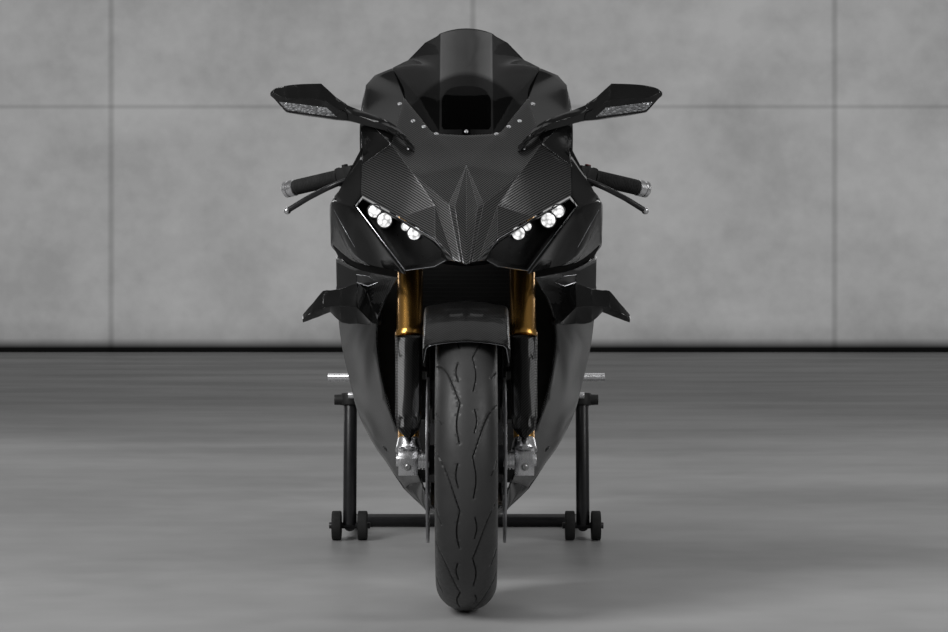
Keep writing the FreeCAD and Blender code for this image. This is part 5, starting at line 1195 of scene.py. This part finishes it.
DIAL_SHAPE = [(0, 0.0052), (0.0025, 0.0052), (0.0032, 0.0042), (0.0032, 0)]
ROCKER_SHAPE = [(0, 0.0042), (0.0024, 0.0042), (0.003, 0.0034), (0.003, 0)]
RED_SHAPE = [(0, 0.0068), (0.0016, 0.0064), (0.002, 0.005), (0.002, 0)]
RED_AT = bar_place(SWITCH_IN + 0.017, 0.004, 0.022)
DIAL_AT = bar_place(SWITCH_IN + 0.012, -0.016, 0.004)
ROCKER_AT = bar_place(SWITCH_IN + 0.025, -0.016, -0.006)
maker = bmesh.new()
for way, (red, dial, rocker) in on_both([RED_AT, DIAL_AT, ROCKER_AT]):
    back = -Vector((BAR_AHEAD.x * way, BAR_AHEAD.y, BAR_AHEAD.z))
    up = Vector((BAR_UP.x * way, BAR_UP.y, BAR_UP.z))
    turned(maker, dial, back, DIAL_SHAPE, 20)
    turned(maker, rocker, back, ROCKER_SHAPE, 20)
    turned(maker, red, up, RED_SHAPE, 20, 1 if way > 0 else 0)
add_made("switch_buttons", maker, "bar_controls", RUBBER, KILL_RED)


# Seat: a padded cover drawn over the foam, with seams

SEAT_CELL, SEAT_SHRINK, SEAT_MOST, SEAT_HELD, SEAT_FILL = 0.006, -0.0025, 0.004, 0.012, 0.6
CLOTH_FRAMES, CLOTH_QUALITY, CLOTH_MASS, PRESSURE = 20, 6, 0.3, 4.0


def puffed(pad):
    """The cover blown up over the held foot of the cushion, by SEAT_MOST at the most."""
    rest = np.array([v.co for v in pad.data.vertices])
    low = np.nonzero(rest[:, 2] < rest[:, 2].min() + SEAT_HELD)[0]
    pad.vertex_groups.new(name="held").add([int(i) for i in low], 1.0, "REPLACE")
    cover = pad.modifiers.new("cover", "CLOTH")
    cloth = cover.settings
    cloth.quality, cloth.mass = CLOTH_QUALITY, CLOTH_MASS
    cloth.use_pressure, cloth.uniform_pressure_force = True, PRESSURE
    cloth.effector_weights.gravity = 0.0
    cloth.vertex_group_mass = "held"
    cover.point_cache.frame_start, cover.point_cache.frame_end = 1, CLOTH_FRAMES
    for number in range(1, CLOTH_FRAMES + 1):
        bpy.context.scene.frame_set(number)
    found = bpy.context.evaluated_depsgraph_get()
    moved = np.array([v.co for v in pad.evaluated_get(found).data.vertices]) - rest
    pad.modifiers.clear()
    length = np.linalg.norm(moved, axis=1, keepdims=True)
    moved *= np.minimum(1.0, SEAT_MOST / np.maximum(length, 1e-9))
    pad.data.vertices.foreach_set("co", (rest + moved).ravel())
    pad.data.update()
    bpy.context.scene.frame_set(1)


def seat_cushion():
    mesh = NODES["seat"].data.copy()
    mesh.materials.clear()
    pad = add("seat_cushion", mesh, "seat", [SEAT_COVER], replaces=["seat"])
    cells = pad.modifiers.new("cells", "REMESH")
    cells.mode, cells.voxel_size = "VOXEL", SEAT_CELL
    shrink = pad.modifiers.new("shrink", "DISPLACE")
    shrink.strength, shrink.mid_level = SEAT_SHRINK, 0.0
    baked(pad)
    puffed(pad)
    smooth = pad.modifiers.new("smooth", "SUBSURF")
    smooth.levels = smooth.render_levels = 1
    baked(pad)
    pad.data.shade_smooth()
    return pad


cushion = seat_cushion()
cushion_faces = BVHTree.FromPolygons([v.co.copy() for v in cushion.data.vertices],
                                     [list(p.vertices) for p in cushion.data.polygons])
seat_low, seat_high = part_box("seat")

STITCH, STITCH_FROM, STITCH_TO, THREAD_R, ABOVE_SEAT = 0.0045, 0.1, 0.8, 0.0006, 0.05


def stitched(maker, route):
    """A row of short threads along a route of (x, y) places on top of the seat."""
    places = []
    for (x0, y0), (x1, y1) in zip(route, route[1:]):
        count = max(1, round(math.hypot(x1 - x0, y1 - y0) / STITCH))
        for i in range(count):
            share = i / count
            place = Vector((x0 + (x1 - x0) * share, y0 + (y1 - y0) * share, seat_high.z + ABOVE_SEAT))
            hit = cushion_faces.ray_cast(place, -Z_AXIS)[0]
            if hit:
                places.append(hit)
    for a, b in zip(places, places[1:]):
        if (b - a).length < STITCH * 2:
            tube(maker, [a.lerp(b, STITCH_FROM), a.lerp(b, STITCH_TO)], THREAD_R, 6)


# how far the seams start and end inside the seat, and the cross seams inside them
START_IN, END_IN, CROSS_IN, CROSS_BACK = 0.035, 0.03, 0.1, 0.08
front_y, rear_y = seat_low.y + START_IN, seat_high.y - END_IN
cross_front, cross_rear = front_y + CROSS_IN, rear_y - CROSS_BACK
# half widths of the seams at the front, the two cross seams and the rear
SEAM_FRONT, SEAM_WIDE, SEAM_WIDEST, SEAM_REAR, CROSS_HALF = 0.045, 0.078, 0.084, 0.07, 0.08
maker = bmesh.new()
for way in (-1, 1):
    stitched(maker, [(way * SEAM_FRONT, front_y), (way * SEAM_WIDE, cross_front),
                     (way * SEAM_WIDEST, cross_rear), (way * SEAM_REAR, rear_y)])
for y in (cross_front, cross_rear):
    stitched(maker, [(-CROSS_HALF, y), (CROSS_HALF, y)])
add_made("seat_stitching", maker, "seat", SEAM)


# Screws of the filler cap and the side panels

CAP_RING, CAP_SCREW_R, CAP_SCREW_TALL = 0.033, 0.003, 0.0012
maker = bmesh.new()
cap_low, cap_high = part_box("fuel_cap")
cap_middle = (cap_low + cap_high) / 2
for x, y in ring_of(6, CAP_RING, 0.5):
    place = Vector((cap_middle.x + x, cap_middle.y + y, cap_high.z))
    bolt(maker, place, Z_AXIS, CAP_SCREW_R, CAP_SCREW_TALL)
add_made("filler_cap_screws", maker, "fuel_cap", SILVER)

# y and height of each quick-release screw on a side panel
PANEL_SCREWS = [(-0.30, 0.640), (0.02, 0.640), (0.09, 0.45), (-0.02, 0.262), (-0.26, 0.290)]
PANEL_SCREW_R, PANEL_SCREW_TALL = 0.0065, 0.0014
maker = bmesh.new()
for y, z in PANEL_SCREWS:
    for way in (-1, 1):
        place, normal, _, _ = side_faces.ray_cast(Vector((way, y, z)), -X_AXIS * way)
        outward = normal if normal.x * way > 0 else -normal
        bolt(maker, place, outward, PANEL_SCREW_R, PANEL_SCREW_TALL)
add_made("side_panel_screws", maker, "side_fairings", SATIN)
